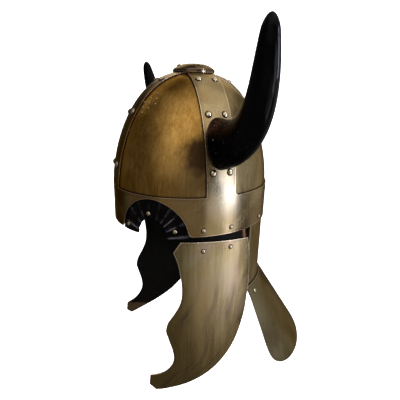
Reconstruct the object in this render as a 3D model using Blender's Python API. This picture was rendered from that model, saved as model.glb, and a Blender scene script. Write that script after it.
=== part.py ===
# Horned viking helmet in antique brass: a riveted spangenhelm bowl with two horns, cheek guards
# hung on leather, leather-lined eye arches and a flared neck guard.
# Metres, +Z up. The front faces -Y and the wearer's left is +X. The origin is the middle of the
# bowl, level with the top edge of the brow band.

import math

import bmesh
import bpy
from mathutils import Vector

# Sheet metal, leather and the clearance between pieces
FRAME_SHEET = 0.0012
PANEL_SHEET = 0.0010
GUARD_SHEET = 0.0014
LEATHER = 0.0018
GAP = 0.0003
FACET_ALLOWANCE = 0.0005

# Bowl: an elliptic plan under a super-elliptic profile
BOWL_HALF_LENGTH = 0.114
BOWL_HALF_WIDTH = 0.098
DOME_HEIGHT = 0.152
DOME_RISE_POWER = 1.73
DOME_PLAN_POWER = 2.47
BAND_DEPTH = 0.050
STRIP_HALF_WIDTH = 0.0195

# Panels tucked behind the strips and the band
PANEL_TUCK = 0.012
PANEL_EDGE_COVER = 0.0022

# Eye arches in the brow band, as angles round the bowl from the front
EYE_ANGLE = math.radians(44.0)
EYE_HALF_ANGLE = math.radians(25.4)
EYE_TOP_DROP = 0.0034
EYE_POWER = 1.85
BAND_CORNER = 0.005

# Leather lining of the eye arches
LINING_TUCK = 0.005
LINING_DROP = 0.008
LINING_HOLE_HALF_ANGLE = math.radians(12.0)
LINING_HOLE_TOP_DROP = 0.030

# Crown cap
CAP_RADIUS = 0.029
CAP_RIM = 0.0030
CAP_RISE = 0.0090
CAP_SHEET = 0.0015
CAP_RIVET_REACH = 0.022

# Horns: share of the dome's height where they leave the strip, centre line from there to the tip,
# and the section's half-height along it
HORN_BASE_SHARE = 0.418
HORN_REACH = 0.1075
HORN_RISE = 0.1172
HORN_FORWARD = 0.0175
HORN_BASE_RADIUS = 0.0308
HORN_WAIST_RADIUS = 0.0161
HORN_TIP_RADIUS = 0.0056
HORN_FLATNESS = 0.40
HORN_WALL = 0.0035
HORN_HOLLOW_SHARE = 0.55
# Control points of the horn's centre line: shares of reach, forward sweep and rise
HORN_LINE = (
    {"reach": 0.0, "forward": 0.0, "rise": 0.0},
    {"reach": 0.74, "forward": -0.30, "rise": 0.066},
    {"reach": 0.905, "forward": 0.70, "rise": 0.613},
    {"reach": 1.0, "forward": 1.0, "rise": 1.0},
)

# Cheek guards: a plate bent to a wide radius, hung below the band
GUARD_STANDOFF = 0.0008
GUARD_RADIUS = 0.24
GUARD_TOP_DROP = 0.0045
GUARD_LENGTH = 0.2208
GUARD_WIDTH = 0.1402
# Edges of a cheek guard from the top corner to the tip: shares of its width from the bowl's
# middle, positive to the back, and of its length downwards
GUARD_FRONT_EDGE = (
    {"back": -0.364, "down": 0.000},
    {"back": -0.425, "down": 0.061},
    {"back": -0.359, "down": 0.217},
    {"back": -0.346, "down": 0.318},
    {"back": -0.371, "down": 0.404},
    {"back": -0.467, "down": 0.514},
    {"back": -0.490, "down": 0.567},
    {"back": -0.466, "down": 0.631},
    {"back": -0.428, "down": 0.713},
    {"back": -0.417, "down": 0.780},
    {"back": -0.448, "down": 0.835},
    {"back": -0.520, "down": 0.875},
    {"back": -0.634, "down": 0.888},
    {"back": -0.645, "down": 0.950},
    {"back": -0.590, "down": 0.998},
)
GUARD_BACK_EDGE = (
    {"back": 0.313, "down": 0.034},
    {"back": 0.352, "down": 0.205},
    {"back": 0.360, "down": 0.350},
    {"back": 0.336, "down": 0.540},
    {"back": 0.299, "down": 0.635},
    {"back": 0.244, "down": 0.729},
    {"back": 0.156, "down": 0.815},
    {"back": 0.022, "down": 0.893},
    {"back": -0.121, "down": 0.943},
    {"back": -0.285, "down": 0.977},
    {"back": -0.560, "down": 1.000},
)

# Hinge straps between the band and the guards
STRAP_FRONT = 0.031
STRAP_BACK = 0.042
STRAP_TUCK_BAND = 0.018
STRAP_TUCK_GUARD = 0.026
STRAP_BEND = 0.016

# Neck guard: an upright plate inside the band and a flared apron over its lower lip
NECK_HALF_ANGLE = math.radians(61.0)
NECK_DEPTH = 0.146
NECK_TUCK = 0.022
FLARE_DROP = 0.1155
FLARE_GROWTH = 0.672
FLARE_HALF_ANGLE = math.radians(68.5)
FLARE_CORNER_POWER = 10.0
LIP_SHARE = 0.12

# How deep each layer's outer face lies behind the frame's outer face
SECOND_LAYER = FRAME_SHEET + GAP + FACET_ALLOWANCE
THIRD_LAYER = SECOND_LAYER + PANEL_SHEET + GAP + FACET_ALLOWANCE
LIP_LAYER = GUARD_SHEET + GAP + FACET_ALLOWANCE

# Rivets
STRIP_RIVET_RADIUS = 0.0035
STRIP_RIVET_SPREAD = 0.0112
# Rivet pairs of a strip, at shares of the dome's height below the crown
STRIP_RIVET_LEVELS = (("low", 0.804), ("middle", 0.3595), ("high", 0.085))
SMALL_RIVET_RADIUS = 0.0026
BAND_RIVET_HEIGHT = 0.008
GUARD_RIVET_DROP = 0.0145
HINGE_RIVETS = (("front", -0.0222), ("back", 0.0160))
NECK_RIVET_ANGLE = math.radians(128.7)
FLARE_RIVET_ANGLE = math.radians(124.8)
FLARE_RIVET_SHARE = 0.077
LINING_RIVETS = (
    ("front", math.radians(22.0), 0.0451),
    ("top", math.radians(41.5), 0.0237),
    ("back", math.radians(60.5), 0.0445),
)
RIVET_SIDES = 8
RIVET_HEIGHT_SHARE = 0.62

# Raised dots on the front panels: the middle one's angle and share of the dome's height
DOT_RADIUS = 0.0013
DOT_ROWS = 3
DOT_ROW_ANGLE = math.radians(-6.3)
DOT_ROW_DROP = 0.0055
DOT_STEP_ANGLE = math.radians(1.8)
DOT_STEP_DROP = 0.0063
DOT_ANGLE = math.radians(26.4)
DOT_SHARE = 0.722

# Mesh fineness
DOME_ROWS = 12
STRIP_COLUMNS = 4
EYE_COLUMNS = 10
BACK_COLUMNS = 11
CAP_SIDES = 20
HORN_SIDES = 14
HORN_RINGS = 13
HORN_INNER_RINGS = 7
GUARD_ROWS = 22
GUARD_COLUMNS = 6
LINING_COLUMNS = 16
LINING_ROWS = 3
NECK_COLUMNS = 16
FLARE_COLUMNS = 20
FLARE_ROWS = 6


def clear_scene():
    for item in list(bpy.data.objects):
        bpy.data.objects.remove(item)


def material(name, colour, metallic, roughness):
    made = bpy.data.materials.new(name)
    made.use_nodes = True
    shader = made.node_tree.nodes["Principled BSDF"]
    shader.inputs["Base Color"].default_value = (*colour, 1.0)
    shader.inputs["Metallic"].default_value = metallic
    shader.inputs["Roughness"].default_value = roughness
    return made


FINISHES = {
    "frame": ((0.30, 0.24, 0.13), 1.0, 0.34),
    "panel": ((0.33, 0.22, 0.08), 1.0, 0.36),
    "guard": ((0.29, 0.24, 0.15), 1.0, 0.38),
    "neck": ((0.19, 0.15, 0.09), 1.0, 0.42),
    "rivet": ((0.55, 0.52, 0.44), 1.0, 0.22),
    "horn": ((0.006, 0.006, 0.007), 0.0, 0.25),
    "leather": ((0.012, 0.011, 0.011), 0.0, 0.45),
}


def add_object(name, mesh, finish):
    made = bpy.data.objects.new(name, mesh)
    bpy.context.scene.collection.objects.link(made)
    colour, metallic, roughness = FINISHES[finish]
    made.data.materials.append(material(name + "_finish", colour, metallic, roughness))
    return made


def mesh_of(name, shape):
    mesh = bpy.data.meshes.new(name)
    shape.to_mesh(mesh)
    shape.free()
    return mesh


# The bowl's outer surface at ring angle and rise angle. The rise angle runs from 0 at the band
# to a right angle at the crown: scale = cos(rise)^(2/plan power), height = dome * sin(rise)^(2/rise power).
def ring_scale(rise):
    return max(math.cos(rise), 0.0) ** (2.0 / DOME_PLAN_POWER)


def ring_height(rise):
    return DOME_HEIGHT * max(math.sin(rise), 0.0) ** (2.0 / DOME_RISE_POWER)


def scale_at_height(height):
    share = min(max(height / DOME_HEIGHT, 0.0), 1.0)
    return (1.0 - share**DOME_RISE_POWER) ** (1.0 / DOME_PLAN_POWER)


def height_at_scale(scale):
    return DOME_HEIGHT * max(1.0 - scale**DOME_PLAN_POWER, 0.0) ** (1.0 / DOME_RISE_POWER)


def scale_slope(height):
    """Change of ring scale with height, always zero or below."""
    if height <= 0.0:
        return 0.0
    share = min(height / DOME_HEIGHT, 0.999)
    inner = 1.0 - share**DOME_RISE_POWER
    power = DOME_RISE_POWER / DOME_PLAN_POWER
    return -power * share ** (DOME_RISE_POWER - 1.0) / DOME_HEIGHT * inner ** (1.0 / DOME_PLAN_POWER - 1.0)


def inset_point(x, y, height, inset):
    """The bowl's point x, y, height moved inwards along the surface normal."""
    scale = math.hypot(x / BOWL_HALF_WIDTH, y / BOWL_HALF_LENGTH)
    normal = Vector((x / BOWL_HALF_WIDTH**2, y / BOWL_HALF_LENGTH**2, -scale * scale_slope(height)))
    return Vector((x, y, height)) - normal.normalized() * inset


def bowl_point(angle, height, inset=0.0, scale=None):
    if scale is None:
        scale = scale_at_height(height)
    x = BOWL_HALF_WIDTH * scale * math.sin(angle)
    y = -BOWL_HALF_LENGTH * scale * math.cos(angle)
    return inset_point(x, y, height, inset)


def bowl_normal(point):
    return inset_point(point.x, point.y, point.z, -1.0) - point


def sheet_mesh(name, rows, outward, closed=False):
    """An open sheet from rows of points, its faces turned towards outward(centre)."""
    shape = bmesh.new()
    made = [[shape.verts.new(point) for point in row] for row in rows]
    count = len(rows[0])
    for lower, upper in zip(made, made[1:]):
        for i in range(count if closed else count - 1):
            j = (i + 1) % count
            shape.faces.new((lower[i], lower[j], upper[j], upper[i]))
    return finish_sheet(name, shape, outward)


def finish_sheet(name, shape, outward):
    bmesh.ops.remove_doubles(shape, verts=shape.verts, dist=1e-6)
    bmesh.ops.dissolve_degenerate(shape, edges=shape.edges, dist=1e-6)
    bmesh.ops.recalc_face_normals(shape, faces=shape.faces)
    shape.normal_update()
    lean = sum(face.normal.dot(outward(face.calc_center_median())) * face.calc_area() for face in shape.faces)
    if lean < 0.0:
        bmesh.ops.reverse_faces(shape, faces=shape.faces)
    for face in shape.faces:
        face.smooth = True
    return mesh_of(name, shape)


def thicken(item, thickness):
    """Gives an outward-facing sheet its thickness, inwards."""
    wall = item.modifiers.new("wall", "SOLIDIFY")
    wall.thickness = thickness
    wall.offset = -1.0
    wall.use_even_offset = True
    return item


def from_axis(centre):
    return Vector((centre.x, centre.y, max(centre.z, 0.0)))


# Columns of the front quarter, as angles at the band: strip edge, band corner, eye arch, strip edge
def eye_edge_angles():
    steps = [math.pi * (1.0 - i / EYE_COLUMNS) for i in range(EYE_COLUMNS + 1)]
    return [EYE_ANGLE + EYE_HALF_ANGLE * math.cos(step) for step in steps]


def front_quarter_angles(clear):
    start = math.asin(clear / BOWL_HALF_WIDTH)
    end = math.acos(clear / BOWL_HALF_LENGTH)
    eye = eye_edge_angles()
    turn = BAND_CORNER / BOWL_HALF_WIDTH
    return [start, eye[0] - turn, eye[0] - 0.3 * turn, *eye, eye[-1] + 0.3 * turn, eye[-1] + turn, end]


def back_quarter_angles(clear):
    start = math.acos(clear / BOWL_HALF_LENGTH)
    end = math.asin(clear / BOWL_HALF_WIDTH)
    return [math.pi - start + (start - end) * i / BACK_COLUMNS for i in range(BACK_COLUMNS + 1)]


def arch_height(angle, half_angle, top_drop, bottom, power=EYE_POWER):
    """Height of an eye arch's edge at a ring angle, or None outside it."""
    across = abs(angle - EYE_ANGLE) / half_angle
    if across >= 1.0:
        return None
    return -bottom + (bottom - top_drop) * (1.0 - across**power) ** (1.0 / power)


def band_bottom(angle):
    """Lower edge of the brow band at a ring angle from the front, on either side."""
    angle = abs(math.remainder(angle, math.tau))
    arch = arch_height(angle, EYE_HALF_ANGLE, EYE_TOP_DROP, BAND_DEPTH)
    corner_top = -BAND_DEPTH + BAND_CORNER
    if arch is not None:
        return max(arch, corner_top)
    beyond = (abs(angle - EYE_ANGLE) - EYE_HALF_ANGLE) * BOWL_HALF_WIDTH
    if beyond >= BAND_CORNER:
        return -BAND_DEPTH
    inside = 1.0 - beyond / BAND_CORNER
    return corner_top - BAND_CORNER * math.sqrt(1.0 - inside**2)


def quarter_point(side, front, clear, share, rise, inset):
    """Point of a quarter between two strips: share 0 at the front or back strip's side, 1 at the other."""
    scale = ring_scale(rise)
    start = math.asin(min(clear / (BOWL_HALF_WIDTH * scale), 1.0))
    end = math.acos(min(clear / (BOWL_HALF_LENGTH * scale), 1.0))
    angle = start + (end - start) * share
    if not front:
        angle = math.pi - angle
    return bowl_point(side * angle, ring_height(rise), inset, scale)


def last_rise(clear):
    """Rise angle at which the edges of a quarter meet."""
    scale = clear * math.hypot(1.0 / BOWL_HALF_WIDTH, 1.0 / BOWL_HALF_LENGTH)
    return math.acos(min(scale, 1.0) ** (DOME_PLAN_POWER / 2.0))


def quarter_shares(front, clear):
    angles = front_quarter_angles(clear) if front else [math.pi - a for a in back_quarter_angles(clear)][::-1]
    return [(angle - angles[0]) / (angles[-1] - angles[0]) for angle in angles]


def strip_rows(along_y, sign):
    """Rows of one strip from the band to the square under the cap."""
    near = BOWL_HALF_WIDTH if along_y else BOWL_HALF_LENGTH
    far = BOWL_HALF_LENGTH if along_y else BOWL_HALF_WIDTH
    top = last_rise(STRIP_HALF_WIDTH)
    end_scale = ring_scale(top)
    rows = []
    for j in range(DOME_ROWS + 1):
        scale = ring_scale(top * j / DOME_ROWS)
        blend = (1.0 - scale**2) / (1.0 - end_scale**2)
        row = []
        for i in range(STRIP_COLUMNS + 1):
            across = STRIP_HALF_WIDTH * (2.0 * i / STRIP_COLUMNS - 1.0)
            own = math.sqrt(scale**2 - blend * (STRIP_HALF_WIDTH**2 - across**2) / near**2)
            out = sign * far * math.sqrt(max(own**2 - (across / near) ** 2, 0.0))
            x, y = (across, out) if along_y else (out, across)
            row.append(Vector((x, y, height_at_scale(own))))
        rows.append(row)
    return rows


def add_grid(shape, rows):
    made = [[shape.verts.new(point) for point in row] for row in rows]
    for lower, upper in zip(made, made[1:]):
        for i in range(len(lower) - 1):
            shape.faces.new((lower[i], lower[i + 1], upper[i + 1], upper[i]))


def build_frame():
    """Brow band, four strips and the crown square, cut from one sheet."""
    shape = bmesh.new()
    for along_y in (True, False):
        for sign in (-1.0, 1.0):
            add_grid(shape, strip_rows(along_y, sign))
    square = [STRIP_HALF_WIDTH * (2.0 * i / STRIP_COLUMNS - 1.0) for i in range(STRIP_COLUMNS + 1)]
    crown = []
    for y in square:
        scales = [math.hypot(x / BOWL_HALF_WIDTH, y / BOWL_HALF_LENGTH) for x in square]
        crown.append([Vector((x, y, height_at_scale(scale))) for x, scale in zip(square, scales)])
    add_grid(shape, crown)
    strips = [STRIP_HALF_WIDTH * (2.0 * i / STRIP_COLUMNS - 1.0) for i in range(1, STRIP_COLUMNS)]
    front = [math.asin(x / BOWL_HALF_WIDTH) for x in strips if x >= 0.0]
    side = [math.acos(-y / BOWL_HALF_LENGTH) for y in strips]
    half = [*front, *front_quarter_angles(STRIP_HALF_WIDTH), *side, *back_quarter_angles(STRIP_HALF_WIDTH)]
    half += [math.pi - angle for angle in front[::-1]]
    angles = half + [math.tau - angle for angle in half[-2:0:-1]]
    levels = 3
    rows = []
    for j in range(levels + 1):
        rows.append([bowl_point(a, band_bottom(a) * (1.0 - j / levels), scale=1.0) for a in angles])
    add_grid(shape, [row + row[:1] for row in rows])
    return thicken(add_object("bowl_frame", finish_sheet("bowl_frame", shape, from_axis), "frame"), FRAME_SHEET)


def panel_bottom(front, angle):
    """Lower edge of a panel, behind the band but above the eye arch."""
    if not front:
        return -PANEL_TUCK
    return max(-PANEL_TUCK, band_bottom(angle) + PANEL_EDGE_COVER)


def build_panel(name, side, front):
    """A dished panel behind the frame, between two strips."""
    clear = STRIP_HALF_WIDTH - PANEL_TUCK
    shares = quarter_shares(front, clear)
    top = last_rise(STRIP_HALF_WIDTH)
    rows = []
    angles = [quarter_angle(share, front, clear) for share in shares]
    for part in (1.0, 0.0):
        row = []
        for angle in angles:
            row.append(bowl_point(side * angle, panel_bottom(front, angle) * part, SECOND_LAYER, 1.0))
        rows.append(row)
    for j in range(1, DOME_ROWS + 1):
        rise = top * j / DOME_ROWS
        rows.append([quarter_point(side, front, clear, share, rise, SECOND_LAYER) for share in shares])
    item = add_object(name, sheet_mesh(name, rows, from_axis), "panel")
    return thicken(item, PANEL_SHEET)


def quarter_angle(share, front, clear):
    start = math.asin(clear / BOWL_HALF_WIDTH)
    end = math.acos(clear / BOWL_HALF_LENGTH)
    angle = start + (end - start) * share
    return angle if front else math.pi - angle


def dome_into(shape, point, normal, radius, lift, sink=0.0):
    """Adds a closed rivet head to shape: a flat foot, a shoulder ring and a top."""
    turn = normal.normalized().to_track_quat("Z", "Y")
    rise = radius * RIVET_HEIGHT_SHARE
    rings = []
    for share, level in ((1.0, -sink), (0.8, 0.68 * rise)):
        ring = []
        for i in range(RIVET_SIDES):
            angle = math.tau * i / RIVET_SIDES
            local = Vector((radius * share * math.cos(angle), radius * share * math.sin(angle), lift + level))
            ring.append(shape.verts.new(point + turn @ local))
        rings.append(ring)
    top = shape.verts.new(point + turn @ Vector((0.0, 0.0, lift + rise)))
    shape.faces.new(rings[0][::-1])
    for lower, upper in zip(rings, rings[1:]):
        for i in range(RIVET_SIDES):
            j = (i + 1) % RIVET_SIDES
            shape.faces.new((lower[i], lower[j], upper[j], upper[i]))
    for i in range(RIVET_SIDES):
        shape.faces.new((rings[-1][i], rings[-1][(i + 1) % RIVET_SIDES], top))


def build_rivet(name, point, normal, radius):
    """A rivet head standing a gap off the sheet."""
    shape = bmesh.new()
    dome_into(shape, point, normal, radius, GAP)
    mesh = mesh_of(name, shape)
    mesh.shade_smooth()
    return add_object(name, mesh, "rivet")


def unite_domes(item, spots, radius):
    """Unites raised domes with a piece, each sunk a little into it."""
    shape = bmesh.new()
    for point, normal in spots:
        dome_into(shape, point, normal, radius, 0.0, 0.5 * radius)
    domes = bpy.data.objects.new(item.name + "_domes", mesh_of(item.name + "_domes", shape))
    bpy.context.scene.collection.objects.link(domes)
    domes.hide_render = True
    domes.display_type = "WIRE"
    joined = item.modifiers.new("domes", "BOOLEAN")
    joined.operation = "UNION"
    joined.solver = "EXACT"
    joined.object = domes


def dot_spots(side):
    """A slanted block of raised dots high on a front panel."""
    spots = []
    middle = (DOT_ROWS - 1) / 2.0
    for row in range(DOT_ROWS):
        for step in range(DOT_ROWS):
            angle = DOT_ANGLE + (row - middle) * DOT_ROW_ANGLE + (step - middle) * DOT_STEP_ANGLE
            height = DOME_HEIGHT * DOT_SHARE - (row - middle) * DOT_ROW_DROP - (step - middle) * DOT_STEP_DROP
            point = bowl_point(side * angle, height, SECOND_LAYER)
            spots.append((point, bowl_normal(bowl_point(side * angle, height))))
    return spots


def cap_height(reach):
    """Rise of the cap's outer face above its rim at a distance from the middle."""
    return CAP_RISE * (1.0 - (reach / CAP_RADIUS) ** 2)


def cap_seat(angle, reach):
    """Height at which the cap's rim clears the crown."""
    x = (reach - CAP_SHEET) * math.cos(angle) / BOWL_HALF_WIDTH
    y = (reach - CAP_SHEET) * math.sin(angle) / BOWL_HALF_LENGTH
    return height_at_scale(math.hypot(x, y)) + GAP


def build_cap():
    """Domed crown cap with a short rim and four rivet heads over the strips."""
    rim_top = cap_seat(math.pi / 2.0, CAP_RADIUS) + CAP_RIM
    angles = [math.tau * i / CAP_SIDES for i in range(CAP_SIDES)]
    rows = [[Vector((CAP_RADIUS * math.cos(a), CAP_RADIUS * math.sin(a), cap_seat(a, CAP_RADIUS))) for a in angles]]
    for share in (1.0, 0.97, 0.8, 0.6, 0.35):
        reach = CAP_RADIUS * share
        level = rim_top + cap_height(reach) - (0.0008 if share == 1.0 else 0.0)
        rows.append([Vector((reach * math.cos(a), reach * math.sin(a), level)) for a in angles])
    shape = bmesh.new()
    made = [[shape.verts.new(point) for point in row] for row in rows]
    top = shape.verts.new(Vector((0.0, 0.0, rim_top + cap_height(0.0))))
    for lower, upper in zip(made, made[1:]):
        for i in range(CAP_SIDES):
            j = (i + 1) % CAP_SIDES
            shape.faces.new((lower[i], lower[j], upper[j], upper[i]))
    for i in range(CAP_SIDES):
        shape.faces.new((made[-1][i], made[-1][(i + 1) % CAP_SIDES], top))
    middle = Vector((0.0, 0.0, rim_top - CAP_RADIUS))
    mesh = finish_sheet("crown_cap", shape, lambda centre: centre - middle)
    cap = thicken(add_object("crown_cap", mesh, "frame"), CAP_SHEET)
    spots = []
    for turn in range(4):
        angle = turn * math.pi / 2.0
        slope = 2.0 * CAP_RISE * CAP_RIVET_REACH / CAP_RADIUS**2
        across = Vector((math.cos(angle), math.sin(angle), 0.0))
        point = across * CAP_RIVET_REACH + Vector((0.0, 0.0, rim_top + cap_height(CAP_RIVET_REACH)))
        spots.append((point, across * slope + Vector((0.0, 0.0, 1.0))))
    unite_domes(cap, spots, SMALL_RIVET_RADIUS)


def bezier(points, share):
    rest = 1.0 - share
    weights = (rest**3, 3.0 * rest**2 * share, 3.0 * rest * share**2, share**3)
    return sum((point * weight for point, weight in zip(points, weights)), start=points[0] * 0.0)


def horn_centre(share):
    """Centre line of the left horn."""
    foot = DOME_HEIGHT * HORN_BASE_SHARE
    base = BOWL_HALF_WIDTH * scale_at_height(foot)
    points = []
    for row in HORN_LINE:
        x = base + HORN_REACH * row["reach"]
        points.append(Vector((x, -HORN_FORWARD * row["forward"], foot + HORN_RISE * row["rise"])))
    return bezier(points, share)


def horn_ring(share, wall):
    """Elliptic ring round the centre line, wall inside the outer face."""
    radii = (HORN_BASE_RADIUS, HORN_WAIST_RADIUS, HORN_WAIST_RADIUS, HORN_TIP_RADIUS)
    tall = bezier(radii, share)
    wide = tall * (1.0 - HORN_FLATNESS * (1.0 - share) ** 1.5)
    step = 0.01
    ahead = horn_centre(min(share + step, 1.0)) - horn_centre(max(share - step, 0.0))
    ahead.normalize()
    up = ahead.cross(Vector((0.0, 1.0, 0.0))) * -1.0
    up.normalize()
    across = up.cross(ahead)
    centre = horn_centre(share)
    ring = []
    for i in range(HORN_SIDES):
        angle = math.tau * i / HORN_SIDES
        ring.append(centre + up * (tall - wall) * math.cos(angle) + across * (wide - wall) * math.sin(angle))
    return ring


def seat_on_bowl(point):
    """Slides a point along X onto the bowl, a gap outside it."""
    scale = scale_at_height(point.z)
    x = BOWL_HALF_WIDTH * math.sqrt(scale**2 - (point.y / BOWL_HALF_LENGTH) ** 2)
    normal = bowl_normal(Vector((x, point.y, point.z)))
    return Vector((x + GAP / normal.x, point.y, point.z))


def build_horn(name, side):
    """Curved horn, its foot cut to the bowl and hollow in its lower part."""
    shape = bmesh.new()

    def add_ring(points):
        return [shape.verts.new(Vector((side * point.x, point.y, point.z))) for point in points]

    outer = [add_ring([seat_on_bowl(point) for point in horn_ring(0.0, 0.0)])]
    outer += [add_ring(horn_ring((i / HORN_RINGS) ** 0.9, 0.0)) for i in range(1, HORN_RINGS + 1)]
    inner = [add_ring([seat_on_bowl(point) for point in horn_ring(0.0, HORN_WALL)])]
    for i in range(1, HORN_INNER_RINGS + 1):
        share = HORN_HOLLOW_SHARE * (i / HORN_INNER_RINGS) ** 0.9
        inner.append(add_ring(horn_ring(share, HORN_WALL * (1.0 + 0.8 * i / HORN_INNER_RINGS))))
    for rings in (outer, inner[::-1]):
        for lower, upper in zip(rings, rings[1:]):
            for i in range(HORN_SIDES):
                j = (i + 1) % HORN_SIDES
                shape.faces.new((lower[i], lower[j], upper[j], upper[i]))
    for i in range(HORN_SIDES):
        j = (i + 1) % HORN_SIDES
        shape.faces.new((inner[0][i], inner[0][j], outer[0][j], outer[0][i]))
    shape.faces.new(outer[-1])
    shape.faces.new(inner[-1])
    bmesh.ops.recalc_face_normals(shape, faces=shape.faces)
    mesh = mesh_of(name, shape)
    mesh.shade_smooth()
    return add_object(name, mesh, "horn")


def curve_through(rows, share):
    """Point on a smooth curve through rows of shares, evenly by row."""
    place = share * (len(rows) - 1)
    index = min(int(place), len(rows) - 2)
    t = place - index
    four = [rows[min(max(index + k, 0), len(rows) - 1)] for k in (-1, 0, 1, 2)]
    found = []
    for key in ("back", "down"):
        a, b, c, d = (row[key] for row in four)
        found.append(0.5 * (2.0 * b + (c - a) * t + (2.0 * a - 5.0 * b + 4.0 * c - d) * t**2
                            + (3.0 * b - a - 3.0 * c + d) * t**3))
    return found


def edge_at(rows, share):
    """Point on an edge at a share of its length."""
    fine = [curve_through(rows, i / 120.0) for i in range(121)]
    lengths = [0.0]
    for a, b in zip(fine, fine[1:]):
        lengths.append(lengths[-1] + math.hypot(b[0] - a[0], b[1] - a[1]))
    target = share * lengths[-1]
    index = max(i for i, length in enumerate(lengths) if length <= target)
    if index == len(fine) - 1:
        return fine[-1]
    part = (target - lengths[index]) / (lengths[index + 1] - lengths[index])
    return [a + (b - a) * part for a, b in zip(fine[index], fine[index + 1])]


def guard_x(y, inset=0.0):
    """The left guard's outer face across the bowl."""
    return BOWL_HALF_WIDTH + GUARD_STANDOFF - inset - y**2 / (2.0 * GUARD_RADIUS)


def guard_top():
    return -(BAND_DEPTH + GUARD_TOP_DROP)


def build_guard(name, side):
    """Cheek guard with a bitten front edge, ending in a hooked tip."""
    rows = []
    for i in range(GUARD_ROWS + 1):
        share = i / GUARD_ROWS
        front = edge_at(GUARD_FRONT_EDGE, share)
        back = edge_at(GUARD_BACK_EDGE, share)
        row = []
        for j in range(GUARD_COLUMNS + 1):
            part = j / GUARD_COLUMNS
            y = GUARD_WIDTH * (front[0] + (back[0] - front[0]) * part)
            down = front[1] + (back[1] - front[1]) * part
            row.append(Vector((side * guard_x(y), y, guard_top() - GUARD_LENGTH * down)))
        rows.append(row)
    outward = Vector((side, 0.0, 0.0))
    item = add_object(name, sheet_mesh(name, rows, lambda centre: outward), "guard")
    return thicken(item, GUARD_SHEET)


def smooth_step(share):
    share = min(max(share, 0.0), 1.0)
    return share * share * (3.0 - 2.0 * share)


def build_strap(name, side):
    """Leather hinge strap, behind the band above and behind the guard below."""
    top = -(BAND_DEPTH - STRAP_TUCK_BAND)
    bottom = guard_top() - STRAP_TUCK_GUARD
    bend = -BAND_DEPTH - GAP
    levels = [top, -BAND_DEPTH, *(bend - STRAP_BEND * i / 5.0 for i in range(1, 6)), bottom]
    rows = []
    for level in levels:
        row = []
        for i in range(9):
            y = -STRAP_FRONT + (STRAP_FRONT + STRAP_BACK) * i / 8.0
            angle = math.acos(-y / BOWL_HALF_LENGTH)
            at_band = bowl_point(angle, -BAND_DEPTH, SECOND_LAYER).x
            at_guard = guard_x(y, GUARD_SHEET + GAP)
            x = at_band + (at_guard - at_band) * smooth_step((bend - level) / STRAP_BEND)
            row.append(Vector((side * x, y, level)))
        rows.append(row)
    outward = Vector((side, 0.0, 0.0))
    item = add_object(name, sheet_mesh(name, rows, lambda centre: outward), "leather")
    return thicken(item, LEATHER)


def build_lining(name, side):
    """Leather band lining an eye arch, its cut ends hanging below the brow band."""
    bottom = BAND_DEPTH + LINING_DROP
    outer_half = EYE_HALF_ANGLE + LINING_TUCK / BOWL_HALF_WIDTH
    rows = []
    for j in range(LINING_ROWS + 1):
        part = j / LINING_ROWS
        half = outer_half + (LINING_HOLE_HALF_ANGLE - outer_half) * part
        top = EYE_TOP_DROP - LINING_TUCK + (LINING_HOLE_TOP_DROP - EYE_TOP_DROP + LINING_TUCK) * part
        row = []
        for i in range(LINING_COLUMNS + 1):
            turn = math.pi * i / LINING_COLUMNS
            across = abs(math.cos(turn)) ** (2.0 / EYE_POWER)
            angle = EYE_ANGLE - half * math.copysign(across, math.cos(turn))
            height = -bottom + (bottom - top) * math.sin(turn) ** (2.0 / EYE_POWER)
            row.append(bowl_point(side * angle, height, THIRD_LAYER, 1.0))
        rows.append(row)
    item = add_object(name, sheet_mesh(name, rows, from_axis), "leather")
    return thicken(item, LEATHER)


def flare_point(angle, share, inset=0.0):
    """The flare's outer face: rings that grow as they drop."""
    grow = 1.0 + FLARE_GROWTH * share
    x = BOWL_HALF_WIDTH * grow * math.sin(angle)
    y = -BOWL_HALF_LENGTH * grow * math.cos(angle)
    lean = FLARE_GROWTH / FLARE_DROP
    normal = Vector((x / BOWL_HALF_WIDTH**2, y / BOWL_HALF_LENGTH**2, grow * lean)).normalized()
    return Vector((x, y, -NECK_DEPTH - FLARE_DROP * share)) - normal * inset, normal


def build_neck_plate():
    """Upright plate behind the band, its lower lip bent out under the flare."""
    slope = FLARE_GROWTH * BOWL_HALF_WIDTH / FLARE_DROP
    bend = NECK_DEPTH + (LIP_LAYER * math.hypot(1.0, slope) - SECOND_LAYER) / slope
    angles = [math.pi + NECK_HALF_ANGLE * (1.0 - 2.0 * i / NECK_COLUMNS) for i in range(NECK_COLUMNS + 1)]
    rows = []
    for share in (0.0, 0.5, 1.0):
        level = -(BAND_DEPTH - NECK_TUCK) * (1.0 - share) - bend * share
        rows.append([bowl_point(angle, level, SECOND_LAYER, 1.0) for angle in angles])
    for part in (0.5, 1.0):
        rows.append([flare_point(angle, LIP_SHARE * part, LIP_LAYER)[0] for angle in angles])
    item = add_object("neck_plate", sheet_mesh("neck_plate", rows, from_axis), "neck")
    return thicken(item, GUARD_SHEET)


def build_neck_flare():
    """Flared apron over the lip, with rounded lower corners."""
    columns = []
    for i in range(FLARE_COLUMNS + 1):
        across = math.sin(math.pi / 2.0 * (2.0 * i / FLARE_COLUMNS - 1.0))
        deepest = max(1.0 - across**2, 0.0) ** (1.0 / FLARE_CORNER_POWER)
        column = []
        for j in range(FLARE_ROWS + 1):
            share = deepest * j / FLARE_ROWS
            half = NECK_HALF_ANGLE + (FLARE_HALF_ANGLE - NECK_HALF_ANGLE) * share
            column.append(flare_point(math.pi - half * across, share)[0])
        columns.append(column)
    rows = [list(row) for row in zip(*columns)]
    item = add_object("neck_flare", sheet_mesh("neck_flare", rows, from_axis), "neck")
    return thicken(item, GUARD_SHEET)


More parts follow.
